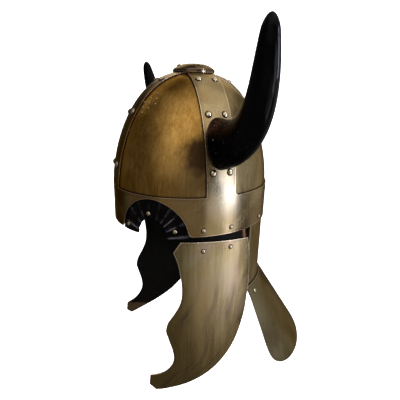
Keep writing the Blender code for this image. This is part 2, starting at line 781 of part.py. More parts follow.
def strip_spot(side_word, spread, height):
    """Rivet place on a strip: the strip's side, how far across it, and its height."""
    scale = scale_at_height(height)
    if side_word in ("front", "back"):
        out = BOWL_HALF_LENGTH * math.sqrt(scale**2 - (spread / BOWL_HALF_WIDTH) ** 2)
        point = Vector((spread, -out if side_word == "front" else out, height))
    else:
        out = BOWL_HALF_WIDTH * math.sqrt(scale**2 - (spread / BOWL_HALF_LENGTH) ** 2)
        point = Vector((out if side_word == "left" else -out, spread, height))
    return point, bowl_normal(point)


def build_strip_rivets():
    for strip in ("front", "back", "left", "right"):
        for level, share in STRIP_RIVET_LEVELS:
            for mark, sign in (("a", -1.0), ("b", 1.0)):
                height = DOME_HEIGHT * (1.0 - share)
                point, normal = strip_spot(strip, sign * STRIP_RIVET_SPREAD, height)
                build_rivet(f"strip_rivet_{strip}_{level}_{mark}", point, normal, STRIP_RIVET_RADIUS)


def build_side_rivets(side, word):
    """Rivets of the hinge, the neck guard and the eye lining on one side."""
    for place, y in HINGE_RIVETS:
        angle = side * math.acos(-y / BOWL_HALF_LENGTH)
        point = bowl_point(angle, -BAND_DEPTH + BAND_RIVET_HEIGHT, 0.0, 1.0)
        build_rivet(f"band_rivet_{word}_{place}", point, bowl_normal(point), SMALL_RIVET_RADIUS)
        point = Vector((side * guard_x(y), y, guard_top() - GUARD_RIVET_DROP))
        normal = Vector((side, y / GUARD_RADIUS, 0.0))
        build_rivet(f"guard_rivet_{word}_{place}", point, normal, SMALL_RIVET_RADIUS)
    point = bowl_point(side * NECK_RIVET_ANGLE, -BAND_DEPTH + BAND_RIVET_HEIGHT, 0.0, 1.0)
    build_rivet(f"neck_rivet_{word}", point, bowl_normal(point), SMALL_RIVET_RADIUS)
    point, normal = flare_point(side * FLARE_RIVET_ANGLE, FLARE_RIVET_SHARE)
    build_rivet(f"flare_rivet_{word}", point, normal, SMALL_RIVET_RADIUS)
    for place, angle, drop in LINING_RIVETS:
        point = bowl_point(side * angle, -drop, THIRD_LAYER, 1.0)
        normal = bowl_normal(bowl_point(side * angle, -drop, 0.0, 1.0))
        build_rivet(f"lining_rivet_{word}_{place}", point, normal, SMALL_RIVET_RADIUS)


def build_all():
    clear_scene()
    build_frame()
    build_cap()
    for side, word in ((1.0, "left"), (-1.0, "right")):
        panel = build_panel("panel_front_" + word, side, True)
        unite_domes(panel, dot_spots(side), DOT_RADIUS)
        build_panel("panel_back_" + word, side, False)
        build_horn("horn_" + word, side)
        build_guard("cheek_guard_" + word, side)
        build_strap("hinge_strap_" + word, side)
        build_lining("eye_lining_" + word, side)
        build_side_rivets(side, word)
    build_neck_plate()
    build_neck_flare()
    build_strip_rivets()


build_all()
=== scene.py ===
import math

import bpy
import numpy as np
from mathutils import Matrix, Vector


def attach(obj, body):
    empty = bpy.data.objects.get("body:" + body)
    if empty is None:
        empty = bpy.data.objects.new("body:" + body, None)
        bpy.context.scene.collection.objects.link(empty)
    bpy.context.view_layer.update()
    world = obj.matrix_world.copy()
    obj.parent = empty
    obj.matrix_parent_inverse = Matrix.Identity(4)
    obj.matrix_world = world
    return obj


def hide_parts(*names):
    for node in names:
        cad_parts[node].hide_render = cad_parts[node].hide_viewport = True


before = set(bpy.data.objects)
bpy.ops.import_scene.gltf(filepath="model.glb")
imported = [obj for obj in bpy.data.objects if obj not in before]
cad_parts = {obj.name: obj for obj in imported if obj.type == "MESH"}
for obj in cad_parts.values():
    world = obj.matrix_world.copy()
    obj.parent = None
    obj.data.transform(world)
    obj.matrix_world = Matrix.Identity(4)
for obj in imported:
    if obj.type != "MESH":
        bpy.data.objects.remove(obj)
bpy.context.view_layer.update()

# Metres and radians. +Z is up, the face looks along -Y, the wearer's left is +X,
# and z = 0 is the top edge of the brow band.

sheets = {
    "frame": 0.0012,
    "panel": 0.001,
    "guard": 0.0014,
    "leather": 0.0018,
    "gap": 0.0003,
    "facetRoom": 0.0005,
}
panelDepth = sheets["frame"] + sheets["gap"] + sheets["facetRoom"]
liningDepth = panelDepth + sheets["panel"] + sheets["gap"] + sheets["facetRoom"]

bowl = {
    "halfLength": 0.114,
    "halfWidth": 0.098,
    "domeHeight": 0.152,
    "risePower": 1.73,
    "planPower": 2.47,
    "bandDepth": 0.05,
    "stripHalfWidth": 0.0195,
}
halfLength, halfWidth, domeHeight, risePower, planPower, bandDepth, stripHalf = bowl.values()
lowOnAxis = (0, 0, -0.3)  # every plate of the helmet looks away from here


def evenShares(count):
    return np.linspace(0, 1, count + 1)


def roundTurn(sides):
    return np.linspace(0, math.tau, sides + 1)[:-1]


def pointsAt(x, y, z):
    return np.stack(np.broadcast_arrays(x, y, z), axis=-1)


def unit(vectors):
    return vectors / np.linalg.norm(vectors, axis=-1, keepdims=True)


def addToScene(name, data):
    item = bpy.data.objects.new(name, data)
    bpy.context.scene.collection.objects.link(item)
    return item


def meshPoints(mesh):
    points = np.empty(len(mesh.vertices) * 3)
    mesh.vertices.foreach_get("co", points)
    return points.reshape(-1, 3)


def keepValues(mesh, **values):
    for name, numbers in values.items():
        layer = mesh.attributes.new(name, "FLOAT", "POINT")
        layer.data.foreach_set("value", np.full(len(mesh.vertices), numbers, dtype=np.float32))


# Joins grids of points into one mesh. Neighbours in rows and columns make a quad, points closer
# than a micrometre become one, and a quad with two corners in one point becomes a triangle. Each
# grid is wound to look away from its middle: the sum of normal * (quad's centre - middle) is positive.
def meshFromGrids(name, grids, middles=lowOnAxis, closed=False, **values):
    points, quads, shift = [], [], 0
    for grid, middle in zip(grids, np.broadcast_to(middles, (len(grids), 3))):
        index = np.arange(grid.shape[0] * grid.shape[1]).reshape(grid.shape[:2])
        if closed:
            index = np.concatenate([index, index[:, :1]], axis=1)
        cells = np.stack([index[:-1, :-1], index[:-1, 1:], index[1:, 1:], index[1:, :-1]], axis=-1).reshape(-1, 4)
        flat = grid.reshape(-1, 3)
        corners = flat[cells]
        normal = np.cross(corners[:, 2] - corners[:, 0], corners[:, 3] - corners[:, 1])
        if np.sum(normal * (corners.mean(axis=1) - middle)) < 0:
            cells = cells[:, ::-1]
        points.append(flat)
        quads.append(cells + shift)
        shift += len(flat)
    points, quads = np.concatenate(points), np.concatenate(quads)
    _, first, same = np.unique(np.round(points, 6), axis=0, return_index=True, return_inverse=True)
    quads = same.reshape(-1)[quads]
    doubled = quads == np.roll(quads, -1, axis=1)
    lost = doubled.sum(axis=1)
    triangles = quads[lost == 1][~doubled[lost == 1]].reshape(-1, 3)
    mesh = bpy.data.meshes.new(name)
    mesh.from_pydata(points[first].tolist(), [], quads[lost == 0].tolist() + triangles.tolist())
    mesh.update()
    mesh.polygons.foreach_set("use_smooth", np.ones(len(mesh.polygons), dtype=bool))
    keepValues(mesh, **{key: numbers.reshape(-1)[first] for key, numbers in values.items()})
    return mesh


# Distance from each vertex to the nearest vertex of the sheet's border, where an edge has one face.
def borderDistance(mesh):
    edges = np.empty(len(mesh.edges) * 2, dtype=np.int64)
    mesh.edges.foreach_get("vertices", edges)
    loops = np.empty(len(mesh.loops), dtype=np.int64)
    mesh.loops.foreach_get("edge_index", loops)
    border = np.unique(edges.reshape(-1, 2)[np.bincount(loops, minlength=len(mesh.edges)) == 1])
    points = meshPoints(mesh)
    nearest = np.empty(len(points))
    for start in range(0, len(points), 2000):  # in blocks, to spare memory
        block = slice(start, start + 2000)
        nearest[block] = np.sqrt(((points[block, None] - points[border]) ** 2).sum(axis=2).min(axis=1))
    return nearest


def makePiece(mesh, material, nodes):
    piece = addToScene(mesh.name, mesh)
    mesh.materials.append(material)
    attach(piece, "root")
    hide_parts(*nodes)
    return piece


# A piece whose wall grows inwards from its mesh, with a small round on its edges.
def makeSheet(mesh, thickness, material, nodes, edgeRound=0.0005, inside=None):
    piece = makePiece(mesh, material, nodes)
    wall = piece.modifiers.new("wall", "SOLIDIFY")
    if inside:
        mesh.materials.append(inside)
        wall.material_offset = 1
    wall.thickness = thickness
    wall.offset = -1
    wall.use_even_offset = True
    soft = piece.modifiers.new("softEdge", "BEVEL")
    soft.width = edgeRound
    soft.segments = 2
    soft.limit_method = "ANGLE"
    soft.angle_limit = math.radians(50)
    soft.harden_normals = True


def makeBrass(mesh, thickness, finish, nodes, edge=None):
    keepValues(mesh, edge=borderDistance(mesh) if edge is None else edge)
    makeSheet(mesh, thickness, metal[finish], nodes, 0.00045, insideBrass)


# Ring scale at a height: (1 - (height / dome)^rise power)^(1 / plan power), and 1 below the band's top.
def ringScale(height):
    share = np.clip(np.asarray(height, dtype=float) / domeHeight, 0, 1)
    return (1 - share ** risePower) ** (1 / planPower)


# The same, solved for the height.
def heightAtScale(scale):
    rest = np.clip(1 - np.asarray(scale, dtype=float) ** planPower, 0, 1)
    return domeHeight * rest ** (1 / risePower)


# Unit normal of the bowl: gradient of (scale of the point's plan place - ring scale of its height).
def bowlNormal(points):
    x, y, z = points[..., 0], points[..., 1], points[..., 2]
    scale = np.hypot(x / halfWidth, y / halfLength)
    share = np.clip(z / domeHeight, 1e-6, 0.999)
    power = risePower / planPower
    rest = 1 - share ** risePower
    slope = -power * share ** (risePower - 1) / domeHeight * rest ** (1 / planPower - 1)
    slope = np.where(z > 0, slope, 0)
    return unit(pointsAt(x / halfWidth ** 2, y / halfLength ** 2, -scale * slope))


# Point of the bowl, moved inwards by depth: half width * scale * sin(angle), -half length * scale *
# cos(angle) and the height, with the angle counted from the front.
def bowlPoint(angle, height, depth=0, scale=None):
    angle, height = np.broadcast_arrays(np.asarray(angle, dtype=float), np.asarray(height, dtype=float))
    if scale is None:
        scale = ringScale(height)
    x = halfWidth * scale * np.sin(angle)
    y = -halfLength * scale * np.cos(angle)
    points = pointsAt(x, y, height)
    return points - bowlNormal(points) * np.asarray(depth)[..., None]


# Wraps a socket, so that arithmetic on it adds Math nodes.
class Wire:
    def __init__(self, shader, socket):
        self.shader, self.socket = shader, socket

    def maths(self, operation, *values):
        return self.shader.add("Math", {"operation": operation}, dict(enumerate(values)))

    def __add__(self, other):
        return self.maths("ADD", self, other)

    def __sub__(self, other):
        return self.maths("SUBTRACT", self, other)

    def __rsub__(self, other):
        return self.maths("SUBTRACT", other, self)

    def __mul__(self, other):
        return self.maths("MULTIPLY", self, other)

    def __abs__(self):
        return self.maths("ABSOLUTE", self)

    __radd__ = __add__
    __rmul__ = __mul__


class Shader:
    def __init__(self, name):
        self.material = bpy.data.materials.new(name)
        self.material.use_nodes = True
        self.tree = self.material.node_tree
        self.surface = self.tree.nodes["Principled BSDF"]
        self.place = self.add("TexCoord", out="Object")

    # Adds any node: its type, its settings, and its sockets' values or links.
    def add(self, kind, settings=None, sockets=None, out=0):
        made = self.tree.nodes.new("ShaderNode" + kind)
        for key, value in (settings or {}).items():
            setattr(made, key, value)
        self.join(made, sockets or {})
        return Wire(self, made.outputs[out])

    def join(self, made, sockets):
        for key, value in sockets.items():
            if isinstance(value, Wire):
                self.tree.links.new(value.socket, made.inputs[key])
            else:
                made.inputs[key].default_value = value

    def attribute(self, name):
        return self.add("Attribute", {"attribute_name": name}, out="Fac")

    def coordinate(self, axis):
        return self.add("SeparateXYZ", {}, {"Vector": self.place}, out=axis)

    # Object coordinates stretched by a scale along each axis.
    def stretched(self, scale, shift=(0, 0, 0)):
        return self.add("Mapping", {}, {"Vector": self.place, "Scale": scale, "Location": shift})

    # Distance from a spot or its mirror image: length of (|x|, y, z) - spot.
    def awayFrom(self, spot):
        x, y, z = (self.coordinate(axis) for axis in "XYZ")
        mirrored = self.add("CombineXYZ", {}, {"X": abs(x), "Y": y, "Z": z})
        return self.add("VectorMath", {"operation": "DISTANCE"}, {0: mirrored, 1: spot}, out="Value")

    def noise(self, vector, scale=1, detail=3, roughness=0.5, distortion=0):
        sockets = {"Vector": vector, "Scale": scale, "Detail": detail, "Roughness": roughness, "Distortion": distortion}
        return self.add("TexNoise", {}, sockets, out="Fac")

    # Straight line from low..high to 0..1, held at both ends.
    def between(self, value, low, high, fromValue=0, toValue=1):
        sockets = {"Value": value, "From Min": low, "From Max": high, "To Min": fromValue, "To Max": toValue}
        return self.add("MapRange", {"clamp": True}, sockets, out="Result")

    # The same, falling from 1 to 0.
    def fade(self, value, low, high):
        return self.between(value, low, high, 1, 0)

    # Roughness: gloss..gloss + spread over a noise's middle range.
    def rough(self, noise, gloss, spread):
        return self.between(noise, 0.3, 0.7, gloss, gloss + spread)

    def mix(self, factor, first, second):
        first, second = (value if isinstance(value, Wire) else (*value, 1) for value in (first, second))
        return self.add("Mix", {"data_type": "RGBA"}, {"Factor": factor, 6: first, 7: second}, out=2)

    def bump(self, height, strength, distance, under=None):
        sockets = {"Height": height, "Strength": strength, "Distance": distance}
        if under:
            sockets["Normal"] = under
        return self.add("Bump", {}, sockets, out="Normal")

    def finish(self, sockets):
        self.join(self.surface, sockets)
        return self.material

# tones: dark, middle, light and the bare metal of an edge; mottle: the clouds' scale along x, y, z;
# the seam's value: how dark the painted shadow in the gap is over the last 3 mm before the next sheet
brassLooks = {
    "frame": {
        "tones": ((0.1, 0.06, 0.022), (0.235, 0.175, 0.082), (0.36, 0.305, 0.215), (0.66, 0.52, 0.4)),
        "mottle": (26, 26, 26), "gloss": 0.24, "streak": 0.14, "lacquer": 0.35,
    },
    "cap": {
        "tones": ((0.05, 0.032, 0.016), (0.12, 0.085, 0.05), (0.22, 0.17, 0.11), (0.66, 0.52, 0.4)),
        "mottle": (30, 30, 30), "gloss": 0.18, "streak": 0.1, "lacquer": 0.3,
    },
    "panel": {
        "tones": ((0.135, 0.066, 0.012), (0.26, 0.143, 0.03), (0.39, 0.24, 0.075), (0.5, 0.4, 0.25)),
        "mottle": (30, 30, 15), "gloss": 0.32, "streak": 0.42, "lacquer": 0.15, "seamShadow": 0.95,
    },
    "rearPanel": {
        "tones": ((0.09, 0.062, 0.026), (0.2, 0.158, 0.08), (0.31, 0.26, 0.16), (0.5, 0.4, 0.25)),
        "mottle": (22, 22, 14), "gloss": 0.3, "streak": 0.24, "lacquer": 0.25, "seamShadow": 0.85,
    },
    "guard": {
        "tones": ((0.085, 0.055, 0.024), (0.225, 0.18, 0.088), (0.34, 0.295, 0.205), (0.8, 0.7, 0.56)),
        "mottle": (30, 30, 11), "gloss": 0.27, "streak": 0.22, "lacquer": 0.22,
    },
    "neck": {
        "tones": ((0.105, 0.082, 0.045), (0.225, 0.187, 0.112), (0.31, 0.265, 0.17), (0.5, 0.43, 0.32)),
        "mottle": (26, 26, 12), "gloss": 0.34, "streak": 0.14, "lacquer": 0.12,
    },
    "flare": {
        "tones": ((0.052, 0.042, 0.023), (0.115, 0.096, 0.056), (0.18, 0.155, 0.098), (0.45, 0.38, 0.28)),
        "mottle": (24, 24, 14), "gloss": 0.34, "streak": 0.16, "lacquer": 0.1,
    },
}
# the near black tint and its spot beside the horn are a painted reflection of the horn
# the pale silvery tint and its spot on the frame's side are a painted highlight
# the shade tint and its spot under the horn are a painted shadow
tints = {
    "olive": (0.235, 0.195, 0.118), "golden": (0.29, 0.18, 0.065), "polished": (0.44, 0.4, 0.33),
    "smoke": (0.03, 0.017, 0.009), "dust": (0.165, 0.118, 0.062), "hornReflection": (0.024, 0.009, 0.002),
    "shade": (0.06, 0.038, 0.02), "rosy": (0.25, 0.186, 0.16), "honey": (0.23, 0.162, 0.058),
    "purple": (0.115, 0.078, 0.064), "fleck": (0.52, 0.44, 0.33),
}
tintSpots = {"polished": (0.098, 0.006, 0.002), "hornReflection": (0.087, -0.026, 0.053), "shade": (0.092, -0.03, 0.03)}


# Frame patina: smoked on the front strip and the brow, golden beside it, olive to the back, and paled to a
# silvery tone round a spot on the side, a painted highlight. The smoke ends where y - 0.45 * height reaches -0.1.
def framePatina(made, colour, patches):
    height = made.coordinate("Z")
    back = made.coordinate("Y") + (patches - 0.5) * 0.012
    front = back - height.maths("MAXIMUM", height, 0) * 0.45
    golden = made.between(front, -0.106, -0.096) * made.fade(back, -0.06, -0.005)
    away = made.awayFrom(tintSpots["polished"]) + (patches - 0.5) * 0.036
    colour = made.mix(made.between(back, -0.03, 0.02) * 0.45, colour, tints["olive"])
    colour = made.mix(golden * 0.8, colour, tints["golden"])
    # painted highlight: the band and the side strip paled round a spot where the lamps shine on them
    colour = made.mix(made.fade(away, 0.008, 0.036) * 0.62, colour, tints["polished"])
    return made.mix(made.fade(front, -0.11, -0.1) * 0.72, colour, tints["smoke"])


# Front panel patina: dust on the lower rear part, a painted dark reflection of the horn round a spot beside it, with an
# edge that noise breaks up, and a painted shadow round a second spot under it.
def panelPatina(made, colour, patches):
    dust = made.fade(made.coordinate("Z"), 0.008, 0.05) * made.between(made.coordinate("Y"), -0.075, -0.03)
    cloud = made.noise(made.place, 60, 3, 0.55)
    # painted reflection: the horn's dark reflection, near black round a spot beside the horn
    hornReflection = made.fade(made.awayFrom(tintSpots["hornReflection"]) + (cloud - 0.5) * 0.03, 0.012, 0.027)
    # painted shadow: a darker brown round a second spot under the horn
    shade = made.fade(made.awayFrom(tintSpots["shade"]) + (patches - 0.5) * 0.02, 0.008, 0.034)
    colour = made.mix(dust * 0.55, colour, tints["dust"])
    colour = made.mix(hornReflection * 0.93, colour, tints["hornReflection"])
    return made.mix(shade * 0.4, colour, tints["shade"])


# Guard patina: rosy grey near the hinge, honey towards the front edge and the tip, purple-brown
# streaks down the plate as noise of (7 * across, 1.5 * down), and pale flecks at the top.
def guardPatina(made, colour, patches):
    across, down = made.attribute("across"), made.attribute("down")
    course = made.noise(made.add("CombineXYZ", {}, {"X": across * 7, "Y": down * 1.5}), 1, 3, 0.55, 0.4)
    cloud = made.noise(made.stretched((24, 24, 16), (3, 1, 2)), 1, 3, 0.55)
    rosy = made.between(down, 0.1, 0.42, 1, 0.15) * made.between(cloud, 0.4, 0.62)
    honey = made.fade(across, 0.15, 0.6) * made.between(down, 0.12, 0.4)
    honey = made.between(honey + made.between(down, 0.5, 0.85), 0, 1)
    purple = made.between(course, 0.5, 0.64) * made.between(down, 0.08, 0.35)
    fleck = made.between(made.noise(made.place, 240, 2, 0.6), 0.56, 0.68) * made.between(cloud, 0.48, 0.6)
    fleck = fleck * made.fade(down, 0.05, 0.3)
    colour = made.mix(rosy * 0.8, colour, tints["rosy"])
    colour = made.mix(honey * 0.7, colour, tints["honey"])
    colour = made.mix(purple * 0.72, colour, tints["purple"])
    return made.mix(fleck * 0.7, colour, tints["fleck"])


# Antique brass: three tones mixed by clouds and fine upright brushing, dark with grime in the last millimetres before
# an edge, with a painted gap shadow in a seam and the bare metal showing on the edge itself.
def brassMaterial(name, look, patina=None):
    made = Shader(name)
    dark, middle, light, bare = look["tones"]
    patches = made.noise(made.stretched(look["mottle"]), 1, 4, 0.55, 0.6)
    wide = made.noise(made.stretched(look["mottle"]), 0.33, 2, 0.5, 0.3)
    brush = made.noise(made.stretched((900, 900, 16)), 1, 3, 0.65)
    coarseBrush = made.noise(made.stretched((220, 220, 7)), 1, 2, 0.5)
    streaks = (brush - 0.5) * 1.3 + (coarseBrush - 0.5) * 0.7
    tone = made.between(patches * 0.55 + wide * 0.45 + streaks * look["streak"], 0.3, 0.72)
    colour = made.mix(made.between(tone, 0, 0.55), dark, middle)
    colour = made.mix(made.between(tone, 0.5, 1), colour, light)
    if patina:
        colour = patina(made, colour, patches)
    edge = made.attribute("edge")
    grime = made.fade(edge, 0.0012, 0.005) * made.between(patches, 0.35, 0.65)
    colour = made.mix(grime * 0.45, colour, dark)
    # painted shadow: near black in the gap where the sheet slips under the next one
    colour = made.mix(made.between(edge, 0.0015, 0.003, look.get("seamShadow", 0), 0), colour, (0.01, 0.006, 0.003))
    colour = made.mix(made.fade(edge, 0.0002, 0.0009) * 0.85, colour, bare)
    rough = made.between(patches, 0.3, 0.7, look["gloss"] - 0.05, look["gloss"] + 0.07) + (brush - 0.5) * 0.16
    dents = made.bump(wide, 0.22, 0.004)
    return made.finish({
        "Base Color": colour,
        "Metallic": 1,
        "Roughness": rough,
        "Normal": made.bump(brush * 0.7 + coarseBrush * 0.3, 0.1, 0.0004, dents),
        "Specular Tint": (0.55, 0.44, 0.3, 1),
        "Coat Weight": made.between(made.coordinate("Y"), -0.11, -0.05, 0, look["lacquer"]),
        "Coat Roughness": 0.22,
    })


rivetLook = {"bright": (0.46, 0.4, 0.29), "shade": (0.02, 0.012, 0.006), "gloss": 0.16}


# Rivet metal: polished crown, and a painted shade, near black, in a ring where the head meets the sheet.
def rivetMaterial():
    made = Shader("rivetMetal")
    scratch = made.noise(made.place, 900, 3, 0.6)
    # crown runs from the painted shade at the head's foot to the polished top
    crown = made.between(made.attribute("crown") + (scratch - 0.5) * 0.2, 0.04, 0.4)
    return made.finish({
        "Base Color": made.mix(crown, rivetLook["shade"], rivetLook["bright"]),
        "Metallic": 1,
        "Roughness": made.rough(scratch, rivetLook["gloss"], 0.14),
        "Normal": made.bump(scratch, 0.08, 0.0003),
    })


insideLook = {"dark": (0.018, 0.01, 0.004), "light": (0.072, 0.045, 0.019), "metallic": 0.85, "gloss": 0.42}


# Inside of the sheets: unpolished brass, brown and matt, with cloudy soot.
def insideMaterial():
    made = Shader("insideBrass")
    cloud = made.noise(made.place, 30, 4, 0.6)
    scuff = made.noise(made.stretched((300, 300, 60)), 1, 3, 0.6)
    tone = made.between(cloud * 0.7 + scuff * 0.3, 0.35, 0.65)
    return made.finish({
        "Base Color": made.mix(tone, insideLook["dark"], insideLook["light"]),
        "Metallic": insideLook["metallic"],
        "Roughness": made.rough(scuff, insideLook["gloss"], 0.18),
        "Normal": made.bump(cloud + scuff, 0.2, 0.001),
    })


patinas = {"frame": framePatina, "panel": panelPatina, "guard": guardPatina}
metal = {key: brassMaterial(key + "Brass", look, patinas.get(key)) for key, look in brassLooks.items()}
insideBrass = insideMaterial()
rivetMetal = rivetMaterial()
print("stage: metals ready")


eyeArch = {
    "angle": math.radians(44),
    "halfAngle": math.radians(25.4),
    "topDrop": 0.0034,
    "power": 1.85,
    "cornerRound": 0.005,
}
fillet = 0.0052
frameFineness = {"stripRows": 64, "stripColumns": 12, "bandRows": 10, "eyeColumns": 48, "plainColumns": 44}


# Rise angle at which two strips' edges meet: acos of the corner's ring scale to half the plan power.
def lastRise(clear):
    scale = clear * math.hypot(1 / halfWidth, 1 / halfLength)
    return math.acos(min(scale, 1) ** (planPower / 2))


# Ring scale at a rise angle: cos(rise)^(2 / plan power).
def scaleAtRise(rise):
    return np.maximum(np.cos(rise), 0) ** (2 / planPower)


# Lower edge of the brow band: a straight line, with two super-elliptic eye arches and rounded corners.
def bandBottom(angle):
    angle = np.abs(np.remainder(np.asarray(angle) + math.pi, math.tau) - math.pi)
    across = np.abs(angle - eyeArch["angle"]) / eyeArch["halfAngle"]
    turn, power = eyeArch["cornerRound"], eyeArch["power"]
    arch = -bandDepth + (bandDepth - eyeArch["topDrop"]) * np.maximum(1 - across ** power, 0) ** (1 / power)
    beyond = np.clip((across - 1) * eyeArch["halfAngle"] * halfWidth / turn, 0, 1)
    corner = -bandDepth + turn - turn * np.sqrt(1 - (1 - beyond) ** 2)
    return np.where(across < 1, np.maximum(arch, -bandDepth + turn), corner)


# One strip, its middle along the bowl and straight across: out = far * sqrt(scale^2 - (across / near)^2).
# The rows slide into the square under the cap, so that the last one lies on the next strip's edge.
def stripGrid(alongY, sign):
    near, far = (halfWidth, halfLength) if alongY else (halfLength, halfWidth)
    scale = scaleAtRise(lastRise(stripHalf) * evenShares(frameFineness["stripRows"]))[:, None]
    blend = (1 - scale ** 2) / (1 - scale[-1] ** 2)
    across = np.linspace(-stripHalf, stripHalf, frameFineness["stripColumns"] + 1)
    own = np.sqrt(scale ** 2 - blend * (stripHalf ** 2 - across ** 2) / near ** 2)
    out = sign * far * np.sqrt(np.maximum(own ** 2 - (across / near) ** 2, 0))
    x, y = (across, out) if alongY else (out, across)
    return pointsAt(x, y, heightAtScale(own))


# Columns round the band: the strips' own, then the eye arches closely and the rest evenly.
def bandAngles():
    count = frameFineness["stripColumns"]
    across = np.linspace(-stripHalf, stripHalf, count + 1)
    front = np.arcsin(across[count // 2:] / halfWidth)
    side = np.arccos(-across / halfLength)
    turn = eyeArch["cornerRound"] / halfWidth
    steps = np.linspace(math.pi, 0, frameFineness["eyeColumns"] + 1)
    eye = eyeArch["angle"] + eyeArch["halfAngle"] * np.cos(steps)
    left = np.linspace(eye[0] - turn, eye[0], 9)[:-1]
    right = np.linspace(eye[-1], eye[-1] + turn, 9)[1:]
    plain = np.linspace(side[-1], math.pi - front[-1], frameFineness["plainColumns"] + 1)
    lead = np.linspace(front[-1], left[0], 4)[1:-1]
    trail = np.linspace(right[-1], side[0], 6)[1:-1]
    half = np.concatenate([front, lead, left, eye, right, trail, side, plain[1:], math.pi - front[::-1][1:]])
    return np.concatenate([half, math.tau - half[1:-1][::-1]])


# Fillet in a rear panel's lower front corner: from the corner out to a concave quarter circle.
def filletGrid(side):
    turn = np.linspace(0, math.pi / 2, 13)[None]
    reach = evenShares(6)[:, None]
    along = reach * fillet * (1 - np.cos(turn))
    height = reach * fillet * (1 - np.sin(turn))
    y = stripHalf + along
    scale = ringScale(height)
    x = side * halfWidth * np.sqrt(scale ** 2 - (y / halfLength) ** 2)
    return pointsAt(x, y, height)


# Distance to the frame's border, with the fillets' arcs taken as the border in the two rounded corners.
def frameEdge(mesh):
    _, along, height = meshPoints(mesh).T
    along = along - stripHalf
    near = (along > -0.002) & (along < fillet) & (height > -0.002) & (height < fillet)
    arc = np.abs(np.hypot(along - fillet, height - fillet) - fillet)
    return np.where(near, arc, borderDistance(mesh))


# Frame: the strips, the square of the bowl under the cap, the band as bowl points from its lower
# edge up to z = 0, and the fillets.
def buildFrame():
    grids = [stripGrid(alongY, sign) for alongY in (True, False) for sign in (-1, 1)]
    across = np.linspace(-stripHalf, stripHalf, frameFineness["stripColumns"] + 1)
    x, y = np.meshgrid(across, across)
    grids.append(pointsAt(x, y, heightAtScale(np.hypot(x / halfWidth, y / halfLength))))
    angles = np.append(bandAngles(), 0)
    down = np.linspace(1, 0, frameFineness["bandRows"] + 1)[:, None]
    grids.append(bowlPoint(angles, bandBottom(angles) * down, 0, 1))
    grids += [filletGrid(side) for side in (1, -1)]
    mesh = meshFromGrids("bowlFrame", grids)
    makeBrass(mesh, sheets["frame"], "frame", ["bowl_frame"], frameEdge(mesh))


panels = {"tuck": 0.012, "edgeCover": 0.0022, "columns": 72, "rows": 72}
panelDots = {
    "radius": 0.0013,
    "rows": 3,
    "rowAngle": math.radians(-6.3),
    "rowDrop": 0.0055,
    "stepAngle": math.radians(1.8),
    "stepDrop": 0.0063,
    "angle": math.radians(26.4),
    "share": 0.722,
}


# Domes standing on a surface: rings of radius * cos(t) at height * sin(t) round each normal.
def domeGrids(spots, normals, radius, height, sides=20, rings=7, sink=0, skirt=1):
    normals = unit(np.asarray(normals))
    helper = np.where(np.abs(normals[:, 2:3]) > 0.9, [[1, 0, 0]], [[0, 0, 1]])
    first = unit(np.cross(helper, normals))
    second = np.cross(normals, first)
    rise = np.linspace(0, math.pi / 2, rings + 1)
    reach = np.concatenate([[radius * skirt], radius * np.cos(rise)])
    level = np.concatenate([[-sink], height * np.sin(rise)])
    turn = roundTurn(sides)
    grids = []
    for spot, normal, u, v in zip(spots, normals, first, second):
        ring = np.cos(turn)[:, None] * u + np.sin(turn)[:, None] * v
        grids.append(spot + reach[:, None, None] * ring[None] + level[:, None, None] * normal)
    return grids


# Distance from each point to the edge of the metal laid over the panels, kept over a millimetre.
def panelEdge(mesh):
    away = np.abs(meshPoints(mesh)) - [stripHalf, stripHalf, 0]
    return np.maximum(away.min(axis=1), 0) + 0.0012


# Panel: bowl points moved in by the panels' depth. In each row the angle runs from one strip's edge
# less the tuck to the other's, where x and y are clear. Four more rows go down behind the band.
def buildPanel(name, node, side, front):
    clear = stripHalf - panels["tuck"]
    share = evenShares(panels["columns"])
    rises = lastRise(stripHalf) * evenShares(panels["rows"])[:, None]
    scale = scaleAtRise(rises)
    start = np.arcsin(np.minimum(clear / (halfWidth * scale), 1))
    end = np.arccos(np.minimum(clear / (halfLength * scale), 1))
    angle = start + (end - start) * share
    if not front:
        angle = math.pi - angle
    height = np.broadcast_to(domeHeight * np.sin(rises) ** (2 / risePower), angle.shape)
    upper = bowlPoint(side * angle, height, panelDepth, scale)
    edge = np.full(angle[0].shape, -panels["tuck"])
    if front:
        edge = np.maximum(edge, bandBottom(angle[0]) + panels["edgeCover"])
    lower = bowlPoint(side * angle[0], edge * np.linspace(1, 0, 4)[:, None], panelDepth, 1)
    mesh = meshFromGrids(name, [lower, upper])
    makeBrass(mesh, sheets["panel"], "panel" if front else "rearPanel", [node], panelEdge(mesh))


# Small raised dots in a slanted block on each front panel: angle and height step by row and column.
def buildDots():
    step = np.arange(panelDots["rows"]) - (panelDots["rows"] - 1) / 2
    row, column = (values.ravel() for values in np.meshgrid(step, step, indexing="ij"))
    angle = panelDots["angle"] + row * panelDots["rowAngle"] + column * panelDots["stepAngle"]
    height = domeHeight * panelDots["share"] - row * panelDots["rowDrop"] - column * panelDots["stepDrop"]
    for side, word in ((1, "Left"), (-1, "Right")):
        points, normals = bowlPoint(side * angle, height, panelDepth), bowlNormal(bowlPoint(side * angle, height))
        grids = domeGrids(points, normals, panelDots["radius"] * 1.2, panelDots["radius"] * 0.8, 14, 4, 0.0004)
        mesh = meshFromGrids("panelDots" + word, grids, closed=True)
        keepValues(mesh, edge=0.0004)
        makePiece(mesh, metal["panel"], [])


